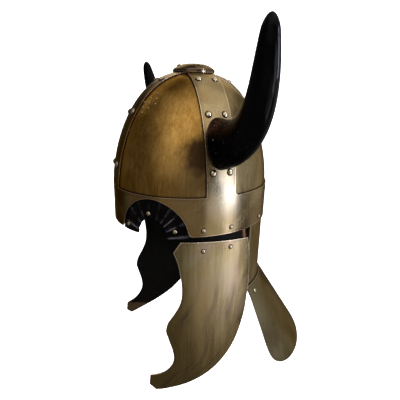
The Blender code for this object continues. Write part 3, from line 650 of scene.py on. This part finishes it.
cap = {
    "radius": 0.029, "rim": 0.0034, "rise": 0.0082, "power": 3.2, "sheet": 0.0015, "rivetReach": 0.022, "sides": 96,
    "shares": (1, 1, 0.995, 0.98, 0.955, 0.92, 0.88, 0.83, 0.77, 0.7, 0.62, 0.52, 0.4, 0.28, 0.14, 0),
    "rimRound": (0, 0.0009, 0.0004),  # what the first rows drop
}


# Height at which the cap's rim clears the crown, by angle.
def capSeat(angle):
    reach = cap["radius"] - cap["sheet"]
    scale = np.hypot(reach * np.cos(angle) / halfWidth, reach * np.sin(angle) / halfLength)
    return heightAtScale(scale) + sheets["gap"]


# Height of the cap's top: rim top + rise * (1 - (reach / radius)^power).
def capTop(reach):
    rimTop = float(capSeat(math.pi / 2)) + cap["rim"]
    return rimTop + cap["rise"] * (1 - (reach / cap["radius"]) ** cap["power"])


# Cap: circles of radius * share at the cap's top height, the first one down on the crown.
def buildCap():
    turn = roundTurn(cap["sides"])
    reach = cap["radius"] * np.array(cap["shares"])
    level = capTop(reach)
    level[:3] -= cap["rimRound"]
    level = np.tile(level[:, None], len(turn))
    level[0] = capSeat(turn)
    x, y = reach[:, None] * np.cos(turn), reach[:, None] * np.sin(turn)
    mesh = meshFromGrids("crownCap", [pointsAt(x, y, level)], closed=True)
    makeBrass(mesh, cap["sheet"], "cap", ["crown_cap"])


rivets = {
    "stripRadius": 0.0035,
    "smallRadius": 0.0026,
    "heightShare": 0.62,
    "spread": 0.0112,
    "levels": (0.804, 0.3595, 0.085),
    "bandHeight": 0.008,
    "guardDrop": 0.0145,
    "hinge": {"front": -0.0222, "back": 0.016},
    "neckAngle": math.radians(128.7),
    "flareAngle": math.radians(124.8),
    "flareShare": 0.077,
    "lining": {"front": (22, 0.0451), "top": (41.5, 0.0237), "back": (60.5, 0.0445)},
}


# Rivet heads: a dome on each spot along its normal, closed under its foot, a small gap off the sheet.
# crown is each vertex's share of the dome's height.
def buildRivets(name, nodes, spots, normals, radius):
    normals = unit(np.asarray(normals, dtype=float))
    lifted = np.asarray(spots, dtype=float) + normals * sheets["gap"]
    height = radius * rivets["heightShare"]
    domes = domeGrids(lifted, normals, radius * 1.08, height, sink=sheets["gap"] * 0.8, skirt=1.22)
    feet = [np.stack([dome[0], np.broadcast_to(dome[0].mean(axis=0), dome[0].shape)]) for dome in domes]
    mesh = meshFromGrids(name, domes + feet, np.tile(lifted + normals * height * 0.3, (2, 1)), closed=True)
    away = meshPoints(mesh)[:, None] - lifted
    nearest = np.argmin((away ** 2).sum(axis=2), axis=1)
    away = away[np.arange(len(nearest)), nearest]
    keepValues(mesh, crown=np.sum(away * normals[nearest], axis=1) / height)
    makePiece(mesh, rivetMetal, nodes)


# Pairs of spots on a strip: out = far * sqrt(ring scale^2 - (spread / near)^2).
def stripSpots():
    names, spots = [], []
    for strip, sign in (("front", -1), ("back", 1), ("left", 1), ("right", -1)):
        alongY = strip in ("front", "back")
        near, far = (halfWidth, halfLength) if alongY else (halfLength, halfWidth)
        for level, share in zip(("low", "middle", "high"), rivets["levels"]):
            height = domeHeight * (1 - share)
            for mark, spread in (("a", -rivets["spread"]), ("b", rivets["spread"])):
                out = sign * far * math.sqrt(float(ringScale(height)) ** 2 - (spread / near) ** 2)
                names.append(f"strip_rivet_{strip}_{level}_{mark}")
                spots.append((spread, out, height) if alongY else (out, spread, height))
    return names, np.array(spots)


horn = {
    "baseShare": 0.418,
    "reach": 0.1075,
    "rise": 0.1172,
    "forward": 0.0175,
    "radii": (0.0308, 0.0161, 0.0161, 0.0056),
    "flatness": 0.4,
    "line": ((0, 0, 0), (0.74, -0.3, 0.066), (0.905, 0.7, 0.613), (1, 1, 1)),
    "stretch": 1.006,
    "tipStart": 0.91,
    "growth": {"height": 0.004, "rings": 150, "waves": 0.003},
    "sides": 72,
    "rings": 130,
}


# Cubic Bezier curve: four controls weighted by (1 - t)^3, 3 (1 - t)^2 t, 3 (1 - t) t^2 and t^3.
def bezier(controls, share):
    controls = np.asarray(controls, dtype=float)
    share = np.asarray(share, dtype=float)
    rest = 1 - share
    weights = np.stack([rest ** 3, 3 * rest ** 2 * share, 3 * rest * share ** 2, share ** 3], axis=-1)
    return weights @ controls


# Horn skin: ellipses round a curved centre line, tall by the radii and narrower across near the foot,
# times 1 + shallow growth rings, times (1 - cut^2.2)^0.5 over the tip. The first ring lies on the
# bowl, and the next ones are drawn after it by a share that dies away along the horn.
def hornGrid(side):
    foot = domeHeight * horn["baseShare"]
    base = halfWidth * float(ringScale(foot))
    line = np.array(horn["line"]) * [horn["reach"], -horn["forward"], horn["rise"]] + [base, 0, foot]
    share = evenShares(horn["rings"]) ** 0.86
    centre = bezier(line, share * horn["stretch"])
    ahead = unit(bezier(line, np.minimum(share + 0.01, 1)) - bezier(line, np.maximum(share - 0.01, 0)))
    up = unit(-np.cross(ahead, [0, 1, 0]))
    across = np.cross(up, ahead)
    tall = bezier(horn["radii"], share)[:, None]
    along, growth = share[:, None], horn["growth"]
    wide = tall * (1 - horn["flatness"] * (1 - along) ** 1.5)
    turn = roundTurn(horn["sides"])
    grow = 1 + growth["height"] * (1 - along) ** 2 * np.sin(growth["rings"] * along + 0.8 * np.sin(turn + 1))
    grow = grow + growth["waves"] * np.sin(5 * turn + 3 * along)
    cut = np.clip((along - horn["tipStart"]) / (1 - horn["tipStart"]), 0, 1)
    grow = grow * np.maximum(1 - cut ** 2.2, 0) ** 0.5
    grid = centre[:, None] + up[:, None] * (tall * grow * np.cos(turn))[..., None]
    grid = grid + across[:, None] * (wide * grow * np.sin(turn))[..., None]
    _, y, z = grid[0].T
    x = halfWidth * np.sqrt(ringScale(z) ** 2 - (y / halfLength) ** 2)
    seat = pointsAt(x, y, z)
    seat[:, 0] += sheets["gap"] / bowlNormal(seat)[:, 0]
    settle = np.exp(-np.linspace(0, 1, len(share)) * 14)[:, None]
    grid[..., 0] += (seat[:, 0] - grid[0, :, 0])[None] * settle
    grid[0] = seat
    grid[..., 0] *= side
    return grid, share


hornLook = {
    "black": (0.0002, 0.0002, 0.0004),
    "brown": (0.026, 0.01, 0.005),
    "nick": (0.15, 0.14, 0.13),
    "tip": (0.004, 0.003, 0.003),
    "gloss": 0.2,
}


# Horn: near black, with a brown painted reflection of the brass on its upper side near the foot, dull at the tip, with
# lengthwise grain and pale nicks.
def hornMaterial():
    made = Shader("blackHorn")
    along, around = made.attribute("along"), made.attribute("around")
    grain = made.noise(made.add("CombineXYZ", {}, {"X": around * 9, "Y": along * 3}), 6, 4, 0.6)
    cloud = made.noise(made.place, 45, 3, 0.5)
    nick = made.noise(made.place, 190, 1, 0.5)
    # painted reflection: the brass bowl's brown on the horn's upper side near the foot
    brown = made.fade(along, 0.06, 0.3) * made.between(cloud, 0.48, 0.64)
    brown = brown * made.fade(around, 0.1, 0.36)
    nicks = made.between(nick, 0.715, 0.76) * made.fade(along, 0.06, 0.32)
    tip = made.between(along, 0.955, 0.99)
    colour = made.mix(brown * 0.9, hornLook["black"], hornLook["brown"])
    colour = made.mix(nicks * 0.55, colour, hornLook["nick"])
    colour = made.mix(tip * 0.8, colour, hornLook["tip"])
    rough = made.rough(grain, hornLook["gloss"], 0.14)
    return made.finish({
        "Base Color": colour,
        "Roughness": rough + nicks * 0.3 + tip * 0.25,
        "Specular IOR Level": 0.008,
        "Coat Weight": made.between(along, 0.95, 1, 0.1, 0.02),
        "Coat Roughness": 0.04,
        "Normal": made.bump(grain * 0.5 + cloud * 0.5 - nicks, 0.18, 0.0008),
    })


# Horn: its skin and a foot of triangles from the first ring to that ring's middle.
def buildHorn(name, node, side, material):
    grid, share = hornGrid(side)
    middle = grid.mean(axis=1)
    foot = np.stack([grid[0], np.broadcast_to(middle[0], grid[0].shape)])
    mesh = meshFromGrids(name, [grid, foot], middle[8], closed=True)
    points = meshPoints(mesh)
    nearest = np.argmin(((points[:, None] - middle) ** 2).sum(axis=2), axis=1)
    away = points - middle[nearest]
    keepValues(mesh, along=share[nearest], around=np.abs(np.arctan2(away[:, 1], away[:, 2])) / math.pi)
    makePiece(mesh, material, [node])


guard = {
    "standOff": 0.0008,
    "bend": 0.24,
    "topDrop": 0.0045,
    "length": 0.2208,
    "width": 0.1402,
    "rows": 200,
    "columns": 44,
    # runs of a smooth edge between sharp corners: (share of width to the back, share of length down)
    "front": (
        ((-0.364, 0), (-0.425, 0.061)),
        ((-0.425, 0.061), (-0.388, 0.125), (-0.361, 0.217), (-0.347, 0.318),
         (-0.363, 0.394), (-0.415, 0.46), (-0.469, 0.514), (-0.489, 0.56)),
        ((-0.489, 0.56), (-0.488, 0.58), (-0.466, 0.631), (-0.429, 0.713),
         (-0.417, 0.78), (-0.445, 0.832), (-0.52, 0.873), (-0.635, 0.887)),
        ((-0.635, 0.887), (-0.643, 0.955)),
        ((-0.643, 0.955), (-0.583, 0.999)),
    ),
    "back": (
        ((0.313, 0.034), (0.337, 0.11), (0.352, 0.205), (0.361, 0.35), (0.353, 0.44), (0.336, 0.54), (0.299, 0.635),
         (0.243, 0.729), (0.155, 0.815), (0.022, 0.893), (-0.121, 0.943), (-0.286, 0.977), (-0.486, 0.997), (-0.56, 1)),
    ),
}


# Bent plate: x = half width + stand-off - depth - y^2 / (2 * bend).
def guardX(y, depth=0):
    return halfWidth + guard["standOff"] - depth - y ** 2 / (2 * guard["bend"])


guardTop = -(bandDepth + guard["topDrop"])


# Catmull-Rom curve through points, many places to a span.
def smoothRun(points, perSpan=24):
    points = np.asarray(points, dtype=float)
    if len(points) == 2:
        return points[0] + (points[1] - points[0]) * np.linspace(0, 1, perSpan)[:, None]
    padded = np.concatenate([2 * points[:1] - points[1:2], points, 2 * points[-1:] - points[-2:-1]])
    t = np.linspace(0, 1, perSpan, endpoint=False)[None, :, None]
    a, b, c, d = (padded[k:len(points) - 1 + k][:, None] for k in range(4))
    run = 0.5 * (2 * b + (c - a) * t + (2 * a - 5 * b + 4 * c - d) * t ** 2 + (3 * b - a - 3 * c + d) * t ** 3)
    return np.concatenate([run.reshape(-1, 2), points[-1:]])


# An edge made of runs, read at shares of its length. Also gives the shares of its sharp corners.
def readEdge(runs, at):
    pieces = [smoothRun(run) for run in runs]
    line = np.concatenate([pieces[0]] + [piece[1:] for piece in pieces[1:]])
    steps = np.linalg.norm(np.diff(line, axis=0) * [guard["width"], guard["length"]], axis=1)
    reach = np.concatenate([[0], np.cumsum(steps)])
    shares = reach / reach[-1]
    corners = shares[np.cumsum([len(piece) - 1 for piece in pieces])[:-1]]
    return np.stack([np.interp(at, shares, line[:, 0]), np.interp(at, shares, line[:, 1])], axis=-1), corners


# Guard plate: rows ruled from the front edge to the back edge, on a plate bent to a wide radius.
# inset draws the whole outline in, for the leather behind it.
def guardGrid(side, depth, inset=0, lowest=1):
    corners = readEdge(guard["front"], 0)[1]
    share = np.unique(np.round(np.concatenate([evenShares(guard["rows"]), corners]), 7))
    share = share[share <= lowest]
    a, b = readEdge(guard["front"], share)[0], readEdge(guard["back"], share)[0]
    across = b - a
    length = np.linalg.norm(across * [guard["width"], guard["length"]], axis=1, keepdims=True)
    keep = np.minimum(inset / np.maximum(length, 1e-6), 0.45)
    a, b = a + across * keep, b - across * keep
    flat = a[:, None] + (b - a)[:, None] * evenShares(guard["columns"])[None, :, None]
    y = guard["width"] * flat[..., 0]
    z = guardTop - guard["length"] * flat[..., 1]
    return pointsAt(side * guardX(y, depth), y, z)


# Guard: its plate, with down as the share of its length and across as the share from edge to edge.
def buildGuard(name, node, side):
    mesh = meshFromGrids(name, [guardGrid(side, 0)])
    _, y, z = meshPoints(mesh).T
    down = (guardTop - z) / guard["length"]
    front, back = (readEdge(guard[edge], np.linspace(0, 1, 400))[0] for edge in ("front", "back"))
    low, high = np.interp(down, front[:, 1], front[:, 0]), np.interp(down, back[:, 1], back[:, 0])
    keepValues(mesh, down=down, across=(y / guard["width"] - low) / np.maximum(high - low, 0.05))
    makeBrass(mesh, sheets["guard"], "guard", [node])


leatherLook = {
    "black": (0.0005, 0.0004, 0.0004),
    "worn": (0.002, 0.0017, 0.0016),
    "tan": (0.075, 0.036, 0.02),
    "crest": (0.034, 0.033, 0.04),
    "gloss": 0.36,
}


# Black leather: fine pebbled grain, greyer where it is rubbed, brown on a cut edge, and a painted sheen, pale and
# bluish, on the crests of folds over the rubbed places.
def leatherMaterial():
    made = Shader("blackLeather")
    grain = made.add("TexVoronoi", {"feature": "F1"}, {"Vector": made.place, "Scale": 900}, out="Distance")
    rub = made.noise(made.place, 60, 4, 0.6)
    creases = made.noise(made.place, 160, 3, 0.6)
    colour = made.mix(made.between(rub, 0.45, 0.75) * 0.8, leatherLook["black"], leatherLook["worn"])
    colour = made.mix(made.attribute("tan"), colour, leatherLook["tan"])
    # painted sheen: pale bluish grey on the folds' crests
    colour = made.mix(made.attribute("crest") * made.between(rub, 0.44, 0.58), colour, leatherLook["crest"])
    return made.finish({
        "Base Color": colour,
        "Roughness": made.rough(rub, leatherLook["gloss"], 0.16),
        "Specular IOR Level": 0.035,
        "Normal": made.bump(grain, 0.25, 0.0003, made.bump(creases, 0.2, 0.0008)),
    })


lining = {
    "tuck": 0.005,
    "drop": 0.008,
    "holeHalfAngle": math.radians(12),
    "holeTopDrop": 0.03,
    "gathers": 19,
    "depth": 0.0016,
    "columns": 260,
    "rows": 26,
}


# Eye lining: a super-elliptic arch between the outer edge and the hole, its folds running out
# from the hole and dying away towards the brass: depth * part^1.4 * (rounded sine of the turn).
def buildLining(name, node, side, material):
    bottom = bandDepth + lining["drop"]
    outerHalf = eyeArch["halfAngle"] + lining["tuck"] / halfWidth
    outerTop = eyeArch["topDrop"] - lining["tuck"]
    part = evenShares(lining["rows"])[:, None]
    turn = np.linspace(0, math.pi, lining["columns"] + 1)[None]
    half = outerHalf + (lining["holeHalfAngle"] - outerHalf) * part
    top = outerTop + (lining["holeTopDrop"] - outerTop) * part
    power = 2 / eyeArch["power"]
    angle = eyeArch["angle"] - half * np.sign(np.cos(turn)) * np.abs(np.cos(turn)) ** power
    bottom = bottom - 0.0045 * np.clip(np.cos(turn) * 2, 0, 1)
    height = -bottom + (bottom - top) * np.abs(np.sin(turn)) ** power
    waves = np.sin(turn * lining["gathers"] + 1.7 * np.sin(turn * 2.3 + 0.6) + 0.9 * np.sin(turn * 5 + 1))
    fold = (0.5 - 0.5 * np.abs(waves) ** 0.8 * np.sign(waves)) * lining["depth"] * part ** 1.4
    # crest: the folds' tops, where the painted sheen goes, most towards the ends of the arch
    crest = np.maximum(waves, 0) ** 6 * np.clip(part * 1.6, 0, 1) * (0.15 + 0.85 * np.abs(np.cos(turn)) ** 1.5)
    mesh = meshFromGrids(name, [bowlPoint(side * angle, height, liningDepth + fold, 1)], crest=crest)
    keepValues(mesh, tan=0)
    makeSheet(mesh, sheets["leather"], material, [node])


strap = {"front": 0.036, "back": 0.042, "tuckBand": 0.018, "tuckGuard": 0.026, "bend": 0.016, "rows": 60, "columns": 60}


# Hinge strap: follows the band's inside, then the guard's, over the step share^2 * (3 - 2 * share).
def buildStrap(name, node, side, material):
    top, bottom = strap["tuckBand"] - bandDepth, guardTop - strap["tuckGuard"]
    level = np.linspace(top, bottom, strap["rows"] + 1)[:, None]
    y = np.linspace(-strap["front"], strap["back"], strap["columns"] + 1)[None]
    atBand = bowlPoint(np.arccos(-y / halfLength), -bandDepth, panelDepth, 1)[..., 0]
    atGuard = guardX(y, sheets["guard"] + sheets["gap"])
    share = np.clip((-bandDepth - sheets["gap"] - level) / strap["bend"], 0, 1)
    x = side * (atBand + (atGuard - atBand) * share ** 2 * (3 - 2 * share))
    mesh = meshFromGrids(name, [pointsAt(x, y, level)])
    keepValues(mesh, tan=np.clip((meshPoints(mesh)[:, 1] - strap["back"] + 0.006) / 0.004, 0, 1))
    makeSheet(mesh, sheets["leather"], material, [node])


guardLeather = {"thickness": 0.001, "inset": 0.0012, "lowest": 0.885}


# Leather glued inside a guard below the strap: the guard's grid, moved in and with its outline drawn in.
def buildGuardLeather(name, side, material):
    grid = guardGrid(side, sheets["guard"] + 0.0001, guardLeather["inset"], guardLeather["lowest"])
    grid = grid[np.all(grid[..., 2] < guardTop - strap["tuckGuard"] - 0.0006, axis=1)]
    mesh = meshFromGrids(name, [grid])
    keepValues(mesh, tan=0)
    makeSheet(mesh, guardLeather["thickness"], material, [], 0.0003)


neck = {
    "halfAngle": math.radians(61),
    "depth": 0.146,
    "tuck": 0.022,
    "flareDrop": 0.1155,
    "flareGrowth": 0.672,
    "flareHalfAngle": math.radians(68.5),
    "cornerPower": 10,
    "lipShare": 0.12,
    "columns": 150,
}


# Flare: rings that grow as they drop, x and y scaled by 1 + growth * share.
def flarePoint(angle, share, depth=0):
    angle, share = np.broadcast_arrays(np.asarray(angle, dtype=float), np.asarray(share, dtype=float))
    grow = 1 + neck["flareGrowth"] * share
    x = halfWidth * grow * np.sin(angle)
    y = -halfLength * grow * np.cos(angle)
    lean = neck["flareGrowth"] / neck["flareDrop"]
    normal = unit(pointsAt(x / halfWidth ** 2, y / halfLength ** 2, grow * lean))
    points = pointsAt(x, y, -neck["depth"] - neck["flareDrop"] * share)
    return points - normal * depth, normal


# Neck plate: upright bowl points down to where its inside meets the flare's, then a lip along the flare.
def buildNeckPlate():
    lipDepth = sheets["guard"] + sheets["gap"] + sheets["facetRoom"]
    slope = neck["flareGrowth"] * halfWidth / neck["flareDrop"]
    bend = neck["depth"] + (lipDepth * math.hypot(1, slope) - panelDepth) / slope
    angle = math.pi + neck["halfAngle"] * np.linspace(1, -1, neck["columns"] + 1)
    upright = bowlPoint(angle, np.linspace(neck["tuck"] - bandDepth, -bend, 60)[:, None], panelDepth, 1)
    lip, _ = flarePoint(angle, np.linspace(0, neck["lipShare"], 10)[1:, None], lipDepth)
    mesh = meshFromGrids("neckPlate", [np.concatenate([upright, lip])])
    makeBrass(mesh, sheets["guard"], "neck", ["neck_plate"])


# Neck flare: flare points, each column as deep as (1 - across^2)^(1 / corner power), for round corners.
def buildNeckFlare():
    across = np.sin(np.linspace(-math.pi / 2, math.pi / 2, neck["columns"] + 1))[None]
    deepest = np.maximum(1 - across ** 2, 0) ** (1 / neck["cornerPower"])
    share = deepest * evenShares(60)[:, None]
    half = neck["halfAngle"] + (neck["flareHalfAngle"] - neck["halfAngle"]) * share
    points, _ = flarePoint(math.pi - half * across, share)
    makeBrass(meshFromGrids("neckFlare", [points]), sheets["guard"], "flare", ["neck_flare"])


sides = (("Left", 1), ("Right", -1))
hornSkin, leather = hornMaterial(), leatherMaterial()

buildFrame()
for word, side in sides:
    buildPanel("panelFront" + word, "panel_front_" + word.lower(), side, True)
    buildPanel("panelBack" + word, "panel_back_" + word.lower(), side, False)
buildDots()
buildCap()
print("stage: bowl ready")

for word, side in sides:
    buildHorn("horn" + word, "horn_" + word.lower(), side, hornSkin)
    buildGuard("cheekGuard" + word, "cheek_guard_" + word.lower(), side)
    buildGuardLeather("guardLeather" + word, side, leather)
    buildStrap("hingeStrap" + word, "hinge_strap_" + word.lower(), side, leather)
    buildLining("eyeLining" + word, "eye_lining_" + word.lower(), side, leather)
buildNeckPlate()
buildNeckFlare()
print("stage: horns, guards and leather ready")

names, spots = stripSpots()
buildRivets("stripRivets", names, spots, bowlNormal(spots), rivets["stripRadius"])

# cap rivets: four round the axis, square to the slope of capTop
turn = np.arange(4) * math.pi / 2
outwards = pointsAt(np.cos(turn), np.sin(turn), 0)
slope = cap["power"] * cap["rise"] / cap["radius"] * (cap["rivetReach"] / cap["radius"]) ** (cap["power"] - 1)
spots = outwards * cap["rivetReach"] + [0, 0, capTop(cap["rivetReach"])]
buildRivets("capRivets", [], spots, outwards * slope + [0, 0, 1], rivets["smallRadius"])

# piece: (node, spot, normal) of each small rivet
small = {"hingeRivets": [], "neckRivets": [], "liningRivets": []}
for word, side in sides:
    low, level = word.lower(), rivets["bandHeight"] - bandDepth
    for place, y in rivets["hinge"].items():
        spot = bowlPoint(side * math.acos(-y / halfLength), level, 0, 1)
        small["hingeRivets"].append((f"band_rivet_{low}_{place}", spot, bowlNormal(spot)))
        spot = (side * guardX(y), y, guardTop - rivets["guardDrop"])
        small["hingeRivets"].append((f"guard_rivet_{low}_{place}", spot, (side, y / guard["bend"], 0)))
    spot = bowlPoint(side * rivets["neckAngle"], level, 0, 1)
    small["neckRivets"].append(("neck_rivet_" + low, spot, bowlNormal(spot)))
    small["neckRivets"].append(("flare_rivet_" + low, *flarePoint(side * rivets["flareAngle"], rivets["flareShare"])))
    for place, (degrees, drop) in rivets["lining"].items():
        angle = side * math.radians(degrees)
        normal = bowlNormal(bowlPoint(angle, -drop, 0, 1))
        small["liningRivets"].append((f"lining_rivet_{low}_{place}", bowlPoint(angle, -drop, liningDepth, 1), normal))
for name, rows in small.items():
    buildRivets(name, *zip(*rows), rivets["smallRadius"])
print("stage: rivets ready")


stage = {"floor": -0.85, "flat": 2.4, "curve": 0.9, "wall": 5.5, "colour": (0.92, 0.92, 0.93), "glow": 0.8}


# Stage: a flat pale floor that curves up into a round wall: a profile turned about the axis.
def buildStage():
    sweep = np.linspace(0, math.pi / 2, 13)
    flat, curve = stage["flat"], stage["curve"]
    reach = np.concatenate([[0], flat + curve * np.sin(sweep), [flat + curve]])[:, None]
    level = np.concatenate([[0], curve * (1 - np.cos(sweep)), [stage["wall"]]])[:, None] + stage["floor"]
    turn = np.linspace(0, math.tau, 97)
    grid = pointsAt(reach * np.cos(turn), reach * np.sin(turn), level)
    mesh = meshFromGrids("studioFloor", [grid], (0, 0, -50))
    mesh.materials.append(Shader("studioPaper").finish({
        "Base Color": (*stage["colour"], 1),
        "Roughness": 0.9,
        "Emission Color": (*stage["colour"], 1),
        "Emission Strength": stage["glow"],
    }))
    floor = addToScene("studioFloor", mesh)
    floor.visible_glossy = False


# azimuth and elevation in degrees, distance, size, radiance, colour, and for one a target and a roll
lamps = {
    "rightSoftbox": (127, -7.5, 0.9, (0.3, 0.23), 5.6, (0.9, 0.95, 1.1)),
    "upperSoftbox": (122.5, 5, 0.9, (0.38, 0.21), 3.8, (0.9, 0.95, 1.14)),
    "guardSoftbox": (127, -27.5, 0.9, (0.15, 0.28), 3, (1, 0.96, 1.12)),
    "rightGlow": (118, -28, 1.15, (0.84, 0.62), 1.08, (1, 0.97, 0.9)),
    "sideGlow": (58, 16, 1.3, (1.3, 0.7), 0.55, (1, 0.95, 0.85)),
    "lowGlow": (62, -22, 1.3, (1.3, 0.5), 0.22, (1, 0.9, 0.72)),
    "highSoftbox": (84, 46, 1.1, (1.4, 0.58), 1, (1, 0.95, 0.88)),
    "highGlow": (88, 57, 1.3, (2.9, 1.5), 0.62, (1, 0.93, 0.8)),
    "topGlow": (175, 60, 1.3, (1.3, 1), 0.92, (1, 0.93, 0.8)),
    "backGlow": (172, 8, 1.3, (1.3, 1.1), 0.7, (1, 0.98, 0.95)),
    "backLow": (181, -25, 1.3, (0.7, 0.5), 0.45, (1, 0.96, 0.9)),
    "farSoftbox": (-127, -8, 1, (0.24, 0.55), 6.5, (0.94, 0.97, 1)),
    "hornEdge": (159, 0, 0.2, (0.008, 0.14), 130, (0.8, 0.87, 1.18), (0.199, -0.011, 0.166), 28),
    "farHigh": (-68, 50, 1.3, (1.3, 0.6), 0.75, (1, 0.95, 0.86)),
    "farGlow": (-118, 40, 1.3, (1.2, 0.7), 1.3, (1, 0.95, 0.86)),
}
air = {"colour": (1, 0.9, 0.76, 1), "strength": 0.18}


# Soft rectangles that face their target, with power = radiance * pi * area, and a dim warm air.
def buildLamps():
    for name, (azimuth, elevation, distance, size, radiance, colour, *more) in lamps.items():
        target, roll = more or ((0, 0, -0.05), 0)
        light = bpy.data.lights.new(name, "AREA")
        light.shape = "RECTANGLE"
        light.size, light.size_y = size
        light.energy = radiance * math.pi * light.size * light.size_y
        light.color = colour
        turn, lift = math.radians(azimuth), math.radians(elevation)
        back = Vector((math.sin(turn) * math.cos(lift), -math.cos(turn) * math.cos(lift), math.sin(lift)))
        facing = back.to_track_quat("Z", "Y").to_matrix() @ Matrix.Rotation(math.radians(roll), 3, "Z")
        item = addToScene(name, light)
        item.location = Vector(target) + back * distance
        item.rotation_euler = facing.to_euler()
        item.visible_camera = False
    world = bpy.data.worlds.new("studioAir")
    world.use_nodes = True
    world.node_tree.nodes["Background"].inputs["Color"].default_value = air["colour"]
    world.node_tree.nodes["Background"].inputs["Strength"].default_value = air["strength"]
    bpy.context.scene.world = world
    bpy.context.scene.view_settings.view_transform = "Standard"


view = {
    "place": (0.41154, -0.17026, 0.11664),
    "right": (0.37732, 0.92586, 0.02012),
    "up": (-0.24201, 0.0776, 0.96717),
    "lens": 27.57,
    "sensor": 36,
    "clip": (0.02, 20),
    "shift": (0.0212, -0.056),
}


def buildCamera():
    lens = bpy.data.cameras.new("camera")
    lens.lens, lens.sensor_width = view["lens"], view["sensor"]
    lens.shift_x, lens.shift_y = view["shift"]
    lens.clip_start, lens.clip_end = view["clip"]
    camera = addToScene("camera", lens)
    right, up = Vector(view["right"]).normalized(), Vector(view["up"])
    back = right.cross(up).normalized()
    turned = Matrix((right, back.cross(right), back)).transposed().to_4x4()
    turned.translation = Vector(view["place"])
    camera.matrix_world = turned
    bpy.context.scene.camera = camera


buildStage()
buildLamps()
buildCamera()
print("stage: studio ready")
